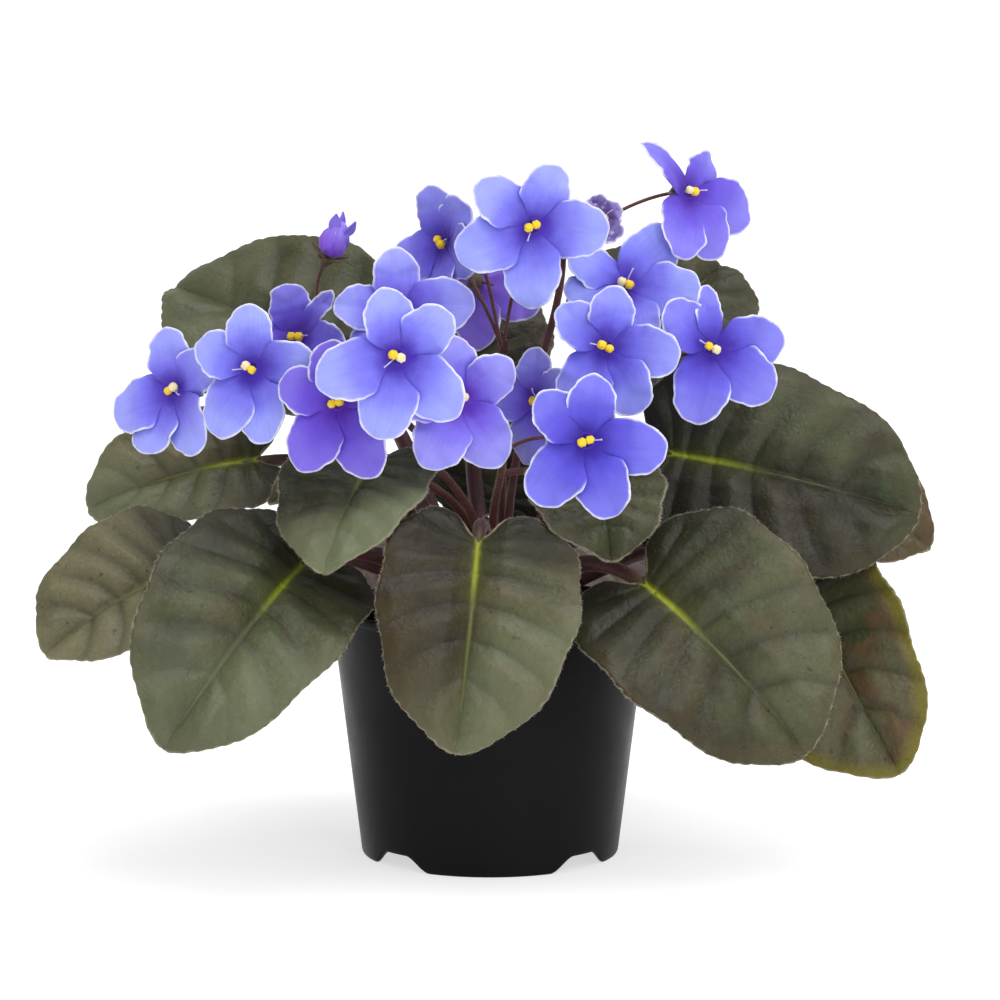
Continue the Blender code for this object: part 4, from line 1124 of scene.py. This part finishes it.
class VIOLET_OT_mix(bpy.types.Operator):
    """Fill the pot with crumbly potting mix"""

    bl_idname = "violet.mix"
    bl_label = "Make the potting mix"

    def execute(self, context):
        sizes = context.scene.violet_mix
        rim = pot_outer(MIX_TOP_Z) - POT_WALL - SEAT_GAP
        bottom, pit = POT_FLOOR_Z + POT_FLOOR + SEAT_GAP, MIX_TOP_Z - CROWN_HOLE_DEPTH

        def top(radius):
            knots = (CROWN_HOLE_RADIUS, rim * 0.6, rim)
            return np.interp(radius, knots, (MIX_TOP_Z + 2 * MM, MIX_TOP_Z + 1 * MM, MIX_TOP_Z))

        rings = np.linspace(CROWN_HOLE_RADIUS, rim, MIX_RINGS)
        profile = [(0.0, pit), (CROWN_HOLE_RADIUS, pit), *zip(rings, top(rings))]
        profile += [(pot_outer(bottom) - POT_WALL - SEAT_GAP, bottom), (0.0, bottom)]
        points, quads = turned_rings(profile, MIX_STEPS)
        surface = points[2 : 2 + len(rings)]
        rough = waves(surface, 9 * MM, 11, 4) * 0.9 * MM
        fade = smoothstep(0.0, 2.0 * MM, rim - np.linalg.norm(surface[..., :2], axis=-1))
        surface[..., 2] += (rough - 0.4 * MM) * fade
        shape = Shape().add(points, quads, dry=0.15)
        draw = np.random.default_rng(21)
        sphere, sphere_quads = ball(CRUMB_ROWS, CRUMB_COLUMNS)
        for _ in range(sizes.crumbs):
            radius = math.sqrt(draw.uniform((CROWN_HOLE_RADIUS + 1 * MM) ** 2, (rim - 2 * MM) ** 2))
            angle = draw.uniform(0, math.tau)
            crumb = sizes.crumb_size * draw.uniform(0.45, 1.0) ** 1.5 * 1.3
            stretch = draw.uniform(0.5, 1.3, 3)
            lumps = 1.0 + 0.25 * draw.normal(size=len(sphere))[:, None]
            body = sphere * lumps.clip(0.5, 1.5) * stretch * crumb
            body[:CRUMB_COLUMNS], body[-CRUMB_COLUMNS:] = body[0], body[-1]
            tilt = unit(draw.normal(size=3))
            side = unit(np.cross(tilt, (0.2, 0.5, 0.8)))
            body = body @ np.stack([side, np.cross(tilt, side), tilt])
            centre = radius * heading(angle) + (top(radius) + 0.25 * crumb) * UP
            shape.add(body + centre, sphere_quads, dry=draw.uniform(0.0, 1.0) ** 2)
        nodes = finish("potting_mix_crumbs", Specular_IOR_Level=0.2)
        body = nodes.mottled(350.0, 3000.0, 0.8, sizes.peat, sizes.fibre)
        nodes.grained(4000.0, 900.0, 0.6, 0.5 * MM, 0.85, 0.98)
        made = nodes.give(Base_Color=nodes.over(body, sizes.fibre, nodes.painted("dry"), 0.7))
        add_piece("potting_mix_bed", shape, [made], ("potting_mix",), weld=True)
        return {"FINISHED"}


class VIOLET_OT_crown(bpy.types.Operator):
    """Make the short woody stem with the youngest leaves at its heart"""

    bl_idname = "violet.crown"
    bl_label = "Make the crown"

    def execute(self, context):
        sizes = context.scene.violet_leaf
        foot = MIX_TOP_Z - CROWN_HOLE_DEPTH + SEAT_GAP
        profile = [(0.0, CROWN_TOP_Z + 0.8 * MM), (CROWN_RADIUS * 0.55, CROWN_TOP_Z + 0.5 * MM)]
        heights = np.linspace(CROWN_TOP_Z, foot, 40)
        profile += [(CROWN_RADIUS * (0.93 if i == 0 else 0.99), z) for i, z in enumerate(heights)]
        profile += [(0.0, foot)]
        points, quads = turned_rings(profile, 64)
        ring = points[2:-1]
        ring[..., :2] *= (1.0 - 0.06 * np.abs(waves(ring, 7 * MM, 31, 3)))[..., None]
        shape = Shape().add(points, quads, green=0.15)
        young = Shape()
        for i in range(HEART_LEAVES):
            self.heart_leaf(i, shape, young, sizes)
        finishes = [bpy.data.materials["petiole"], bpy.data.materials["leaf_blade"]]
        add_piece("crown_stem", shape, finishes, ("crown",), weld=True)
        add_piece("crown_hairs", young, [bpy.data.materials["leaf_hair"]])
        return {"FINISHED"}

    def heart_leaf(self, i, shape, young, sizes):
        """One of the folded young leaves that stand round the crown's middle, and its hairs."""
        out, side = heading(i * GOLDEN_TURN), heading(i * GOLDEN_TURN + math.pi / 2)
        along, across = lattice(*HEART_GRID)
        tall, wide = HEART_HEIGHT * (0.98 - 0.11 * i), HEART_RADIUS * (0.80 + 0.06 * i)
        swell = 0.18 + 0.82 * np.sin(math.pi * np.clip(along, 0.02, 0.98)) ** 0.7
        lean = (0.5 + 0.35 * i) * MM + 1.5 * MM * along**2 - 0.72 * wide * (across * swell) ** 2
        grid = spanned(0.0, (out, lean), (side, wide * across * swell), (UP, CROWN_TOP_Z + tall * along))
        normal, turned = normals_of(grid, -out)
        thin = np.full(grid.shape[:2], 0.3 * MM)
        gap = np.minimum((1.0 - np.abs(across)) * wide, (1.0 - along) * tall) / MM
        middle = bell(across, 1.0 / 3.0) * (1.0 - along)
        painted = {"edge": both(gap), "rib": both(middle * 0.5), "tan": 0.1, "bronze": 0.3}
        shape.add(*thickened(grid, normal, turned, thin, thin), finish=1, **painted)
        draw = np.random.default_rng(60 + i)
        row, column = (draw.integers(0, steps, HEART_HAIRS) for steps in HEART_GRID)
        direction = -normal[row, column] + 0.8 * UP + 0.4 * draw.normal(size=(HEART_HAIRS, 3))
        lengths = draw.uniform(0.5, 1.2, HEART_HAIRS) * MM
        young.add(*hairs(grid[row, column], direction, lengths, sizes.hair_width))


class VIOLET_OT_leaves(bpy.types.Operator):
    """Make every leaf: a quilted blade on its petiole, and its hairs"""

    bl_idname = "violet.leaves"
    bl_label = "Make the leaves"

    def execute(self, context):
        sizes = context.scene.violet_leaf
        finishes = [leaf_finish(sizes), petiole_finish(sizes)]
        down = hair_finish("leaf_hair", sizes.hair)
        for seed, leaf in enumerate(LEAVES):
            blade = Blade(leaf, seed, sizes)
            shape = Shape()
            blade.add_to(shape, sizes)
            path, radii = petiole_path(blade)
            points, quads, ends = tube(path, radii, 14)
            along = np.concatenate([np.repeat(np.linspace(0.0, 1.0, len(path)), 14), [0.0, 1.0]])
            shape.add(points, quads, ends, finish=1, green=smoothstep(0.55, 0.75, along))
            add_piece(leaf.name + "_blade", shape, finishes, (leaf.name,))
            fringe = Shape()
            blade.hairs_into(fringe, sizes)
            stem_hairs(fringe, path[:27], radii, sizes.petiole_hairs, sizes, sizes.hair_width, seed)
            add_piece(leaf.name + "_hairs", fringe, [down])
        return {"FINISHED"}


def stem_hairs(shape, path, radii, count, sizes, width, seed):
    """Hairs that stand out all round a stem."""
    draw = np.random.default_rng(900 + seed)
    _, side, up = frames_along(path)
    place = draw.integers(0, len(path) - 1, count)
    share_on = draw.random((count, 1))
    turn = draw.uniform(0, math.tau, count)[:, None]
    out = side[place] * np.cos(turn) + up[place] * np.sin(turn)
    root = path[place] + (path[place + 1] - path[place]) * share_on + out * (radii[place] * 0.9)[:, None]
    lean = out + 0.25 * draw.normal(size=(count, 3))
    shape.add(*hairs(root, lean, sizes.hair_length * draw.uniform(0.5, 1.3, count), width * 0.9))


class VIOLET_OT_stalks(bpy.types.Operator):
    """Make the flower stalks with their pedicels, sepals and bracts"""

    bl_idname = "violet.stalks"
    bl_label = "Make the flower stalks"

    def execute(self, context):
        sizes, leaf_sizes = context.scene.violet_stalk, context.scene.violet_leaf
        nodes = soft_finish("flower_stalk", 0.3, 0.2, 0.4, (0.9, 0.75, 0.7))
        body = nodes.mottled(120.0, 1800.0, 0.7, sizes.brown, tinted(sizes.brown, 1.8))
        nodes.grained(3500.0, 600.0, 0.5, 0.12 * MM, 0.45, 0.62)
        made = nodes.give(Base_Color=nodes.mix(nodes.painted("green"), body, sizes.green))
        down = hair_finish("stalk_hair", leaf_sizes.hair)
        for seed, stalk in enumerate(STALKS):
            shape, fringe = Shape(), Shape()
            runs = self.build(stalk, shape)
            total = sum(len(path) for path, _ in runs)
            for k, (path, radii) in enumerate(runs):
                count = round(sizes.hairs * len(path) / total)
                stem_hairs(fringe, path, radii, count, sizes, leaf_sizes.hair_width, 40 + seed * 10 + k)
            add_piece(stalk.name + "_stem", shape, [made], (stalk.name,))
            add_piece(stalk.name + "_hairs", fringe, [down])
        return {"FINISHED"}

    def build(self, stalk, shape):
        """Adds one stalk to a shape and returns its runs of centre line with their radii."""
        node = np.array(stalk.node) * MM
        foot = STALK_RING * heading(math.radians(stalk.azimuth)) + (CROWN_TOP_Z - 1 * MM) * UP
        root = foot + (3.0 * MM + SEAT_GAP) * UP
        rise = float(np.linalg.norm(node - root)) * UP
        main = bezier(root, root + 0.4 * rise, node - 0.25 * rise, node, PEDUNCLE_STEPS)
        radii = PEDUNCLE_RADIUS * np.concatenate([[1.0], np.linspace(0.95, 0.75, len(main))])
        runs = [(np.concatenate([[foot], main]), radii)]
        shape.add(*tube(*runs[0], 12))
        forks = {}
        for branch in [b for b in BRANCHES if b.stalk == stalk.name]:
            start, end = main[round(PEDUNCLE_STEPS * branch.share)], np.array(branch.node) * MM
            pull = 0.35 * float(np.linalg.norm(end - start)) * UP
            run = bezier(start, start + pull, end - pull, end, PEDICEL_STEPS)
            runs.append((run, np.full(len(run), PEDUNCLE_RADIUS * 0.75)))
            shape.add(*tube(*runs[-1], 10))
            forks.update({name: end for name in branch.blooms})
            self.bracts(shape, end, 3 + stalk.azimuth)
        self.bracts(shape, node, stalk.azimuth)
        for bloom in [b for b in (*BLOOMS, BUD, WILTED) if b.spray == stalk.name]:
            turn, centre = facing(bloom)
            back = -turn[:, 2]
            seat = centre + back * (TUBE_DEPTH + SEAT_GAP)
            start = forks.get(bloom.name, node) - 1.0 * MM * UP
            span = float(np.linalg.norm(seat - start))
            leave = start + unit(unit(seat - start) * 0.7 + 0.5 * UP) * 0.35 * span
            end = seat + back * 0.6 * CALYX_LENGTH
            run = bezier(start, leave, seat + back * 0.4 * span, end, PEDICEL_STEPS)
            runs.append((run, np.full(len(run), PEDICEL_RADIUS)))
            shape.add(*tube(*runs[-1], 8))
            self.calyx(shape, bloom)
        return runs

    def bracts(self, shape, node, seed):
        """Two small brown leaves at a fork."""
        turn = np.random.default_rng(int(seed)).uniform(0, math.tau)
        for side in (0.0, math.pi):
            out = heading(turn + side, 0.55)
            small_blade(shape, node - 1 * MM * UP, out, BRACT_LENGTH, BRACT_HALF_WIDTH, BRACT_CURL, green=0.0)

    def calyx(self, shape, bloom):
        """A small cup with five narrow sepals that clasp the back of the petals."""
        turn, centre = facing(bloom)
        cup_top = -TUBE_DEPTH - SEAT_GAP
        profile = (
            (0.0, cup_top),
            (TUBE_RADIUS, cup_top),
            (TUBE_RADIUS * 1.1, cup_top - 0.5 * MM),
            (TUBE_RADIUS * 0.75, cup_top - CALYX_LENGTH * 0.55),
            (PEDICEL_RADIUS * 1.2, cup_top - CALYX_LENGTH),
            (0.0, cup_top - CALYX_LENGTH),
        )
        points, quads = turned_rings(profile, 15)
        shape.add(placed(points.reshape(-1, 3), bloom), quads, green=0.6)
        for i in range(5):
            out = heading(math.radians(36 + 72 * i))
            base = centre + turn @ (out * TUBE_RADIUS * 0.85 + (cup_top - 0.8 * MM) * UP)
            ahead = turn @ (out * 0.75 + 0.65 * UP)
            length = SEPAL_LENGTH * bloom.size
            small_blade(shape, base, ahead, length, SEPAL_HALF_WIDTH, SEPAL_CURL, green=0.7)


def small_blade(shape, base, direction, length, half, curl, **values):
    """A narrow pointed blade, such as a sepal or a bract, that curls away from its start."""
    ahead = unit(direction)
    side = unit(np.cross(ahead, (0.13, 0.21, 0.97)))
    normal = np.cross(side, ahead)
    along, across = lattice(11, 7)
    width = half * (np.sin(math.pi * (0.16 + 0.83 * along)) ** 0.9 + 0.02) * across
    bend = curl * length * along**2 * 0.5 - 0.25 * half * across**2
    grid = spanned(base, (ahead, length * along), (side, width), (normal, bend))
    faces_out, turned = normals_of(grid, normal)
    thin = np.full(grid.shape[:2], SMALL_BLADE_THICKNESS / 2)
    shape.add(*thickened(grid, faces_out, turned, thin, thin), **values)


class Petal:
    """One petal as a grid of points in its bloom's frame before it is turned to its clock place. gaps are the
    angles to the petals on its right and its left, which it is joined to round the throat."""

    def __init__(self, length, width, lift, gaps, seed, sizes, crumple, rows=28, columns=20):
        draw = np.random.default_rng(seed)
        self.length, self.width, self.gaps = length, width, gaps
        along, spread = lattice(rows + 1, columns + 1)
        self.across = across = np.sign(spread) * (1.0 - (1.0 - np.abs(spread)) ** 1.25)
        flat = self.flat(along, across)
        ends, tip, ones = np.linspace(0.0, 1.0, 60), np.linspace(-1.0, 1.0, 31), np.ones(60)
        sides = ((ends, -ones), (ones[:31], tip), (ends[::-1], ones))
        line = np.concatenate([self.flat(*side) for side in sides])
        distances = np.linalg.norm(flat[..., None, :] - line, axis=-1)
        self.edge = distances.min(axis=-1) / MM
        run = distances.argmin(axis=-1) / len(line)
        x, y = flat[..., 0], flat[..., 1]
        self.radius = radius = np.linalg.norm(flat, axis=-1) / length
        free = smoothstep(0.30, 0.60, radius)
        rise = np.maximum(x - TUBE_RADIUS, 0.0) * math.sin(lift) * (1.0 - PETAL_FLATTENING * radius)
        cup = PETAL_CUP * np.clip(y / (0.5 * width), -1.0, 1.0) ** 2 * radius - PETAL_NOD * radius**3
        lean = y * math.tan(PETAL_TWIST) * smoothstep(0.06, 0.40, radius)
        phases = draw.uniform(0.0, math.tau, 5)

        def ripple(turns, weights, phases):
            return sum(w * np.sin(math.tau * t * run + phase) for t, w, phase in zip(turns, weights, phases))

        near, rim = np.exp(-self.edge / 3.2) * free, np.exp(-self.edge / 1.2) * free
        ruffle = sizes.ruffle * ripple((3, 6, 11), (1.0, 0.55, 0.22), phases) * near
        frill = sizes.frill * ripple((5, 11), (0.9, 0.45), phases[3:]) * rim
        moved = unit(np.stack([x - 0.62 * length, y * 1.3], -1)) * frill[..., None]
        groove = -0.45 * MM * bell(y, 1.2 * MM) * smoothstep(0.10, 0.3, radius) * (1.0 - radius)
        curl = draw.uniform(-1.8, 0.4) * MM * smoothstep(0.55, 1.0, radius)
        spots = np.stack([x, y, 0 * y], -1)
        soft = 0.5 * MM * waves(spots, 15 * MM, seed + 3, 1) * free
        rough = crumple * waves(spots, 6 * MM, seed + 5, 3) * smoothstep(0.1, 0.5, radius)
        height = rise + cup + lean + ruffle + groove + curl + soft + rough
        self.grid = np.stack([(x + moved[..., 0]) * math.cos(lift), y + moved[..., 1], height], -1)
        self.normal, self.turned = normals_of(self.grid, UP)

    def flat(self, along, across):
        """A fan as far as the widest place, which joins the next petals, and a half ellipse beyond it."""
        widest = PETAL_WIDEST * self.length
        half = 0.5 * self.width
        inner = np.clip(along / 0.5, 0.0, 1.0)
        outer = np.clip(along / 0.5 - 1.0, 0.0, 1.0)
        reach = PETAL_ROOT + (widest - PETAL_ROOT) * inner
        gap = np.where(across < 0, self.gaps[0], self.gaps[1])
        limit = np.clip(gap / 2.0 + math.radians(5.0), math.radians(22.0), math.radians(60.0))
        limit = limit + (math.radians(66.0) - limit) * smoothstep(0.35, 1.0, inner)
        fan = reach * np.tan(limit)
        body = half * (1.0 - 0.22 * ((widest - reach) / widest) ** 2)
        wide = (fan**-5.0 + body**-5.0) ** -0.2
        x = reach + (self.length - widest) * outer * np.sqrt(1.0 - across**2 / 2.0)
        y = wide * across * np.sqrt(1.0 - outer**2 / 2.0)
        return np.stack([x, y], -1)


def add_petals(shape, bloom, sizes, number_of, crumple=0.0):
    odd = {which: shares for which, *shares in ODD_PETALS.get(bloom.name, ())}
    for i, clock in enumerate(bloom.clock):
        long_share, wide_share = odd.get(i, (1.0, 1.0))
        length, width = UPPER_PETAL if i < 2 else LOWER_PETAL
        right, left = bloom.clock[(i + 1) % 5] - clock, clock - bloom.clock[i - 1]
        petal = Petal(
            length * bloom.size * long_share,
            width * bloom.size * wide_share,
            math.radians(bloom.lift),
            (math.radians(right % 360), math.radians(left % 360)),
            number_of * 31 + i * 7,
            sizes,
            crumple,
        )
        thin = sizes.thickness / 2.0 * (0.45 + 0.55 * np.minimum(petal.edge / 1.2, 1.0))
        points, faces = thickened(petal.grid, petal.normal, petal.turned, thin, thin)
        angle = math.radians(90.0 - clock)
        shape.add(
            placed(points @ np.stack([heading(angle), heading(angle + math.pi / 2), UP]), bloom),
            faces,
            edge=both(petal.edge),
            out=both(petal.radius),
            fan=both(np.arctan2(petal.across * 0.5 * width, length * 0.9)),
            back=np.repeat((0.0, 1.0), petal.edge.size),
            plum=bloom.plum,
            depth=bloom.depth,
            which=float(i + number_of * 5),
        )


def add_throat(shape, bloom):
    """The short tube that joins the petals, with a shallow cup at its mouth."""
    profile = (
        (0.0, -0.6 * MM),
        (TUBE_RADIUS * 0.45, -0.55 * MM),
        (TUBE_RADIUS * 0.78, TUBE_TOP * 0.6),
        (TUBE_RADIUS * 0.92, TUBE_TOP),
        (TUBE_RADIUS, TUBE_TOP * 0.4),
        (TUBE_RADIUS * 0.97, -TUBE_DEPTH * 0.4),
        (TUBE_RADIUS * 0.8, -TUBE_DEPTH),
        (0.0, -TUBE_DEPTH),
    )
    points, quads = turned_rings(profile, 24)
    shape.add(placed(points.reshape(-1, 3), bloom), quads, edge=4.0, out=0.02, plum=bloom.plum)


def petal_finish(name, sizes, dull=0.0):
    nodes = soft_finish(name, 0.25, 0.18, 0.5, (0.8, 0.8, 1.0))
    painted, noise, between, mix = nodes.painted, nodes.noise, nodes.between, nodes.mix
    times, over, out = nodes.times, nodes.over, painted("out")
    lines = nodes.add("CombineXYZ", X=times(painted("fan"), 26.0), Y=times(out, 1.6), Z=painted("which"))
    streak = noise(1.6, 3.0, 0.6, lines.outputs[0])
    reach = nodes.plus(out, times(nodes.math("SUBTRACT", noise(130.0, 3.0), 0.5), 0.30))
    body = mix(between(reach, 0.12, 0.46), sizes.throat, sizes.petal)
    body = mix(between(reach, 0.36, 0.88), body, sizes.outer)
    body = nodes.darker(body, painted("depth"), (0.50, 0.42, 0.78))
    body = over(body, sizes.throat, between(streak, 0.40, 0.75), 0.12)
    body = over(body, sizes.plum, painted("plum"), 0.8)
    body = over(body, sizes.outer, painted("back"), 0.25)
    if dull:
        body = mix(dull, body, (0.30, 0.24, 0.36))
        body = mix(between(noise(520.0, 3.0, 0.7), 0.58, 0.68), body, (0.62, 0.58, 0.66))
    uneven = nodes.math("SUBTRACT", painted("edge"), times(noise(260.0, 3.0, 0.65), 0.9))
    white = between(uneven, -0.45, sizes.edge / MM, 0.95, 0.0)
    body = over(body, sizes.white, white, between(out, 0.44, 0.62))
    height = nodes.plus(times(streak, 0.6), times(noise(3000.0, 2.0), 0.4))
    relief = nodes.bump(height, 0.08 * MM)
    return nodes.give(Base_Color=body, Normal=relief, Roughness=between(streak, 0.3, 0.7, 0.48, 0.60))


class VIOLET_OT_blooms(bpy.types.Operator):
    """Make every open bloom: five ruffled petals round a short throat"""

    bl_idname = "violet.blooms"
    bl_label = "Make the blooms"

    def execute(self, context):
        sizes = context.scene.violet_bloom
        made = petal_finish("petal", sizes)
        for number_of, bloom in enumerate(BLOOMS):
            shape = Shape()
            add_petals(shape, bloom, sizes, number_of)
            add_throat(shape, bloom)
            add_piece(bloom.name + "_petals", shape, [made], (bloom.name,))
        return {"FINISHED"}


def pollen_finish(name, tint, paler):
    nodes = finish(name, Specular_IOR_Level=0.3)
    nodes.grained(9000.0, 2500.0, 0.5, 0.08 * MM, 0.45, 0.65)
    return nodes.give(Base_Color=nodes.mottled(700.0, 5000.0, 0.6, tint, paler))


class VIOLET_OT_anthers(bpy.types.Operator):
    """Make the two pollen sacs in each throat, on their filaments, and the style beside them"""

    bl_idname = "violet.anthers"
    bl_label = "Make the anthers"

    def execute(self, context):
        sizes = context.scene.violet_bloom
        finishes = [
            pollen_finish("pollen_yellow", sizes.yellow, tinted(sizes.yellow, 1.15, 0.02)),
            pollen_finish("pollen_cream", sizes.cream, tinted(sizes.cream, 1.2, 0.05)),
            pollen_finish("style_pale", (0.45, 0.40, 0.72), (0.62, 0.58, 0.78)),
        ]
        sphere, quads = ball(16, 20)
        grooved = sphere * (1.0 - 0.16 * bell(sphere[:, :1], 0.22) * (sphere[:, 2:] > -0.2))
        for number_of, bloom in enumerate((*BLOOMS, WILTED)):
            draw = np.random.default_rng(1300 + number_of)
            turn = draw.uniform(-0.7, 0.7)
            spin = np.stack([heading(turn), heading(turn + math.pi / 2), UP])
            shape = Shape()
            for k, side in enumerate((-1.0, 1.0)):
                kidney = grooved * ANTHER_SIZE * draw.uniform(0.84, 1.0)
                kidney[:, 0] += side * 0.25 * MM * (1.0 - sphere[:, 2] ** 2)
                kidney *= (1.0 + 0.09 * waves(kidney, 1.1 * MM, 77 + 2 * number_of + k, 2))[:, None]
                place = np.array((
                    side * ANTHER_RADIUS * 0.68,
                    draw.uniform(-0.2, 0.2) * MM,
                    TUBE_TOP + SEAT_GAP + ANTHER_LENGTH + draw.uniform(-0.1, 0.3) * MM,
                ))
                which = int((k + number_of) % 4 == 1)
                shape.add(placed((kidney + place) @ spin, bloom), quads, finish=which)
                low = np.array((side * 0.7 * MM, 0.0, -0.4 * MM))
                path = bezier(low, low + 1 * MM * UP, place - 1.5 * MM * UP, place - 0.6 * MM * UP, 6)
                shape.add(*tube(placed(path, bloom), FILAMENT_RADIUS, 8), finish=2)
            out = heading(math.radians(90.0 - bloom.style))
            foot = 0.2 * MM * UP + out * 1.3 * MM
            end = foot + out * STYLE_REACH + STYLE_RISE * UP
            path = bezier(foot, foot + 1.8 * MM * UP, end - out * 1.6 * MM, end, 10)
            radii = 0.20 * MM + 0.14 * MM * smoothstep(0.86, 1.0, np.linspace(0.0, 1.0, 11))
            shape.add(*tube(placed(path, bloom), radii, 7), finish=2)
            stands_for = (bloom.name + "_anthers",)
            add_piece(bloom.name + "_pollen", shape, finishes, stands_for, weld=True)
        return {"FINISHED"}


class VIOLET_OT_bud(bpy.types.Operator):
    """Make the closed bud with its furled petals"""

    bl_idname = "violet.bud"
    bl_label = "Make the bud"

    def execute(self, context):
        sphere, quads = ball(30, 60)
        height = (sphere[:, 2] + 1.0) / 2.0
        angle = np.arctan2(sphere[:, 1], sphere[:, 0])
        fold = np.abs(np.cos(2.5 * (angle + 1.5 * height))) ** 0.6
        swell = BUD_RADIUS * (0.86 + 0.28 * fold) * (1.15 - 0.55 * height)
        swell = swell * (1.0 + 0.05 * waves(sphere, 0.8, 91, 2))
        points = np.stack([sphere[:, 0] * swell, sphere[:, 1] * swell, BUD_LENGTH * height - TUBE_DEPTH], -1)
        painted = {"edge": 3.0 * fold, "out": 0.25 + 0.6 * height, "plum": 0.9 - 0.4 * height, "fan": fold}
        shape = Shape().add(placed(points, BUD), quads, **painted)
        for i in range(3):
            out = heading(math.radians(40 + 120 * i))
            base = placed(out * 2.2 * MM + BUD_LENGTH * 0.45 * UP, BUD)
            ahead = facing(BUD)[0] @ (out * 0.35 + UP)
            small_blade(shape, base, ahead, 5.5 * MM, 1.9 * MM, 0.4, edge=1.2, out=0.7, plum=0.6)
        add_piece("bud_petals", shape, [bpy.data.materials["petal"]], ("bud_purple",), weld=True)
        return {"FINISHED"}


class VIOLET_OT_wilted(bpy.types.Operator):
    """Make the wilted bloom with its crumpled petals"""

    bl_idname = "violet.wilted"
    bl_label = "Make the wilted bloom"

    def execute(self, context):
        sizes = context.scene.violet_bloom
        shape = Shape()
        add_petals(shape, WILTED, sizes, 40, CRUMPLE)
        add_throat(shape, WILTED)
        made = petal_finish("petal_wilted", sizes, 0.55)
        add_piece("bloom_wilted_petals", shape, [made], ("bloom_wilted",))
        return {"FINISHED"}


class VIOLET_OT_stage(bpy.types.Operator):
    """Set the pale floor, the soft studio light and the camera"""

    bl_idname = "violet.stage"
    bl_label = "Set the stage"

    def execute(self, context):
        scene = context.scene
        sizes = scene.violet_stage
        mesh = bpy.data.meshes.new("floor")
        corners = [(x * FLOOR_REACH, y * FLOOR_REACH, 0) for x, y in ((-1, -1), (1, -1), (1, 1), (-1, 1))]
        mesh.from_pydata(corners, [], [(0, 1, 2, 3)])
        nodes = finish("floor_paper", Roughness=0.9, Specular_IOR_Level=0.0)
        nodes.give(Emission_Color=(1.0, 1.0, 1.0), Emission_Strength=sizes.glow)
        paper = nodes.mix(nodes.noise(2.0), sizes.floor, tinted(sizes.floor, 0.995))
        mesh.materials.append(nodes.give(Base_Color=paper))
        self.place("floor", mesh)
        world = scene.world or bpy.data.worlds.new("studio")
        scene.world = world
        world.use_nodes = True
        sky = Nodes(world.node_tree)
        height = sky.add("SeparateXYZ", Vector=sky.add("TexCoord").outputs["Generated"]).outputs["Z"]
        shade = sky.between(sky.math("ABSOLUTE", height), 0.06, 0.30, 1.05, sizes.ambient)
        background = world.node_tree.nodes["Background"]
        background.inputs["Color"].default_value = (1.0, 1.0, 1.0, 1.0)
        feed(world.node_tree, background.inputs["Strength"], shade)
        sun = self.place("sun", bpy.data.lights.new("sun", "SUN"))
        sun.data.energy, sun.data.angle = sizes.sun, SUN_SPREAD
        self.aim(sun, SUN_PLACE, (0.0, 0.0, 0.0))
        strip = self.place("strip", bpy.data.lights.new("strip", "AREA"))
        strip.data.shape, strip.data.energy = "RECTANGLE", sizes.strip
        strip.data.size, strip.data.size_y = STRIP_SIZE
        self.aim(strip, STRIP_PLACE, STRIP_TARGET)
        camera = self.place("camera", bpy.data.cameras.new("camera"))
        camera.location = CAMERA_PLACE
        camera.rotation_euler = (math.pi / 2 - CAMERA_PITCH, 0.0, 0.0)
        camera.data.sensor_width, camera.data.lens = SENSOR, FOCAL_SHARE * SENSOR
        camera.data.clip_end = VIEW_END
        scene.camera = camera
        scene.view_settings.view_transform, scene.view_settings.look = "Standard", "None"
        return {"FINISHED"}

    def place(self, name, data):
        obj = bpy.data.objects.new(name, data)
        bpy.context.scene.collection.objects.link(obj)
        return obj

    def aim(self, lamp, place, target):
        lamp.location = place
        back = unit(np.array(place) - np.array(target))
        side = unit(np.cross(UP, back))
        lamp.rotation_euler = Matrix((side, np.cross(back, side), back)).transposed().to_euler()


STEPS = (
    VIOLET_OT_pot,
    VIOLET_OT_mix,
    VIOLET_OT_leaves,
    VIOLET_OT_crown,
    VIOLET_OT_stalks,
    VIOLET_OT_blooms,
    VIOLET_OT_anthers,
    VIOLET_OT_bud,
    VIOLET_OT_wilted,
    VIOLET_OT_stage,
)


class VIOLET_PT_panel(bpy.types.Panel):
    """Sizes, colours and steps of the potted african violet"""

    bl_idname = "VIOLET_PT_panel"
    bl_label = "Potted african violet"
    bl_space_type = "VIEW_3D"
    bl_region_type = "UI"
    bl_category = "Violet"

    def draw(self, context):
        for step in STEPS:
            self.layout.operator(step.bl_idname)
        for name in GROUPS:
            group = getattr(context.scene, name)
            box = self.layout.box()
            for key in group.__annotations__:
                box.prop(group, key)


GROUPS = {
    "violet_pot": PotSizes,
    "violet_mix": MixSizes,
    "violet_leaf": LeafSizes,
    "violet_bloom": BloomSizes,
    "violet_stalk": StalkSizes,
    "violet_stage": StageSizes,
}


def register():
    for kind in (*GROUPS.values(), *STEPS, VIOLET_PT_panel):
        bpy.utils.register_class(kind)
    for name, kind in GROUPS.items():
        setattr(bpy.types.Scene, name, PointerProperty(type=kind))


def unregister():
    for name in GROUPS:
        delattr(bpy.types.Scene, name)
    for kind in (VIOLET_PT_panel, *reversed(STEPS), *reversed(GROUPS.values())):
        bpy.utils.unregister_class(kind)


def main():
    kept = set(frame["nodes"].values()) | set(frame["bodies"].values())
    for obj in [o for o in bpy.data.objects if o not in kept]:
        bpy.data.objects.remove(obj, do_unlink=True)
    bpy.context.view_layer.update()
    register()
    for step in STEPS:
        family, verb = step.bl_idname.split(".")
        getattr(getattr(bpy.ops, family), verb)()
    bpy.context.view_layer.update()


if __name__ == "__main__":
    main()
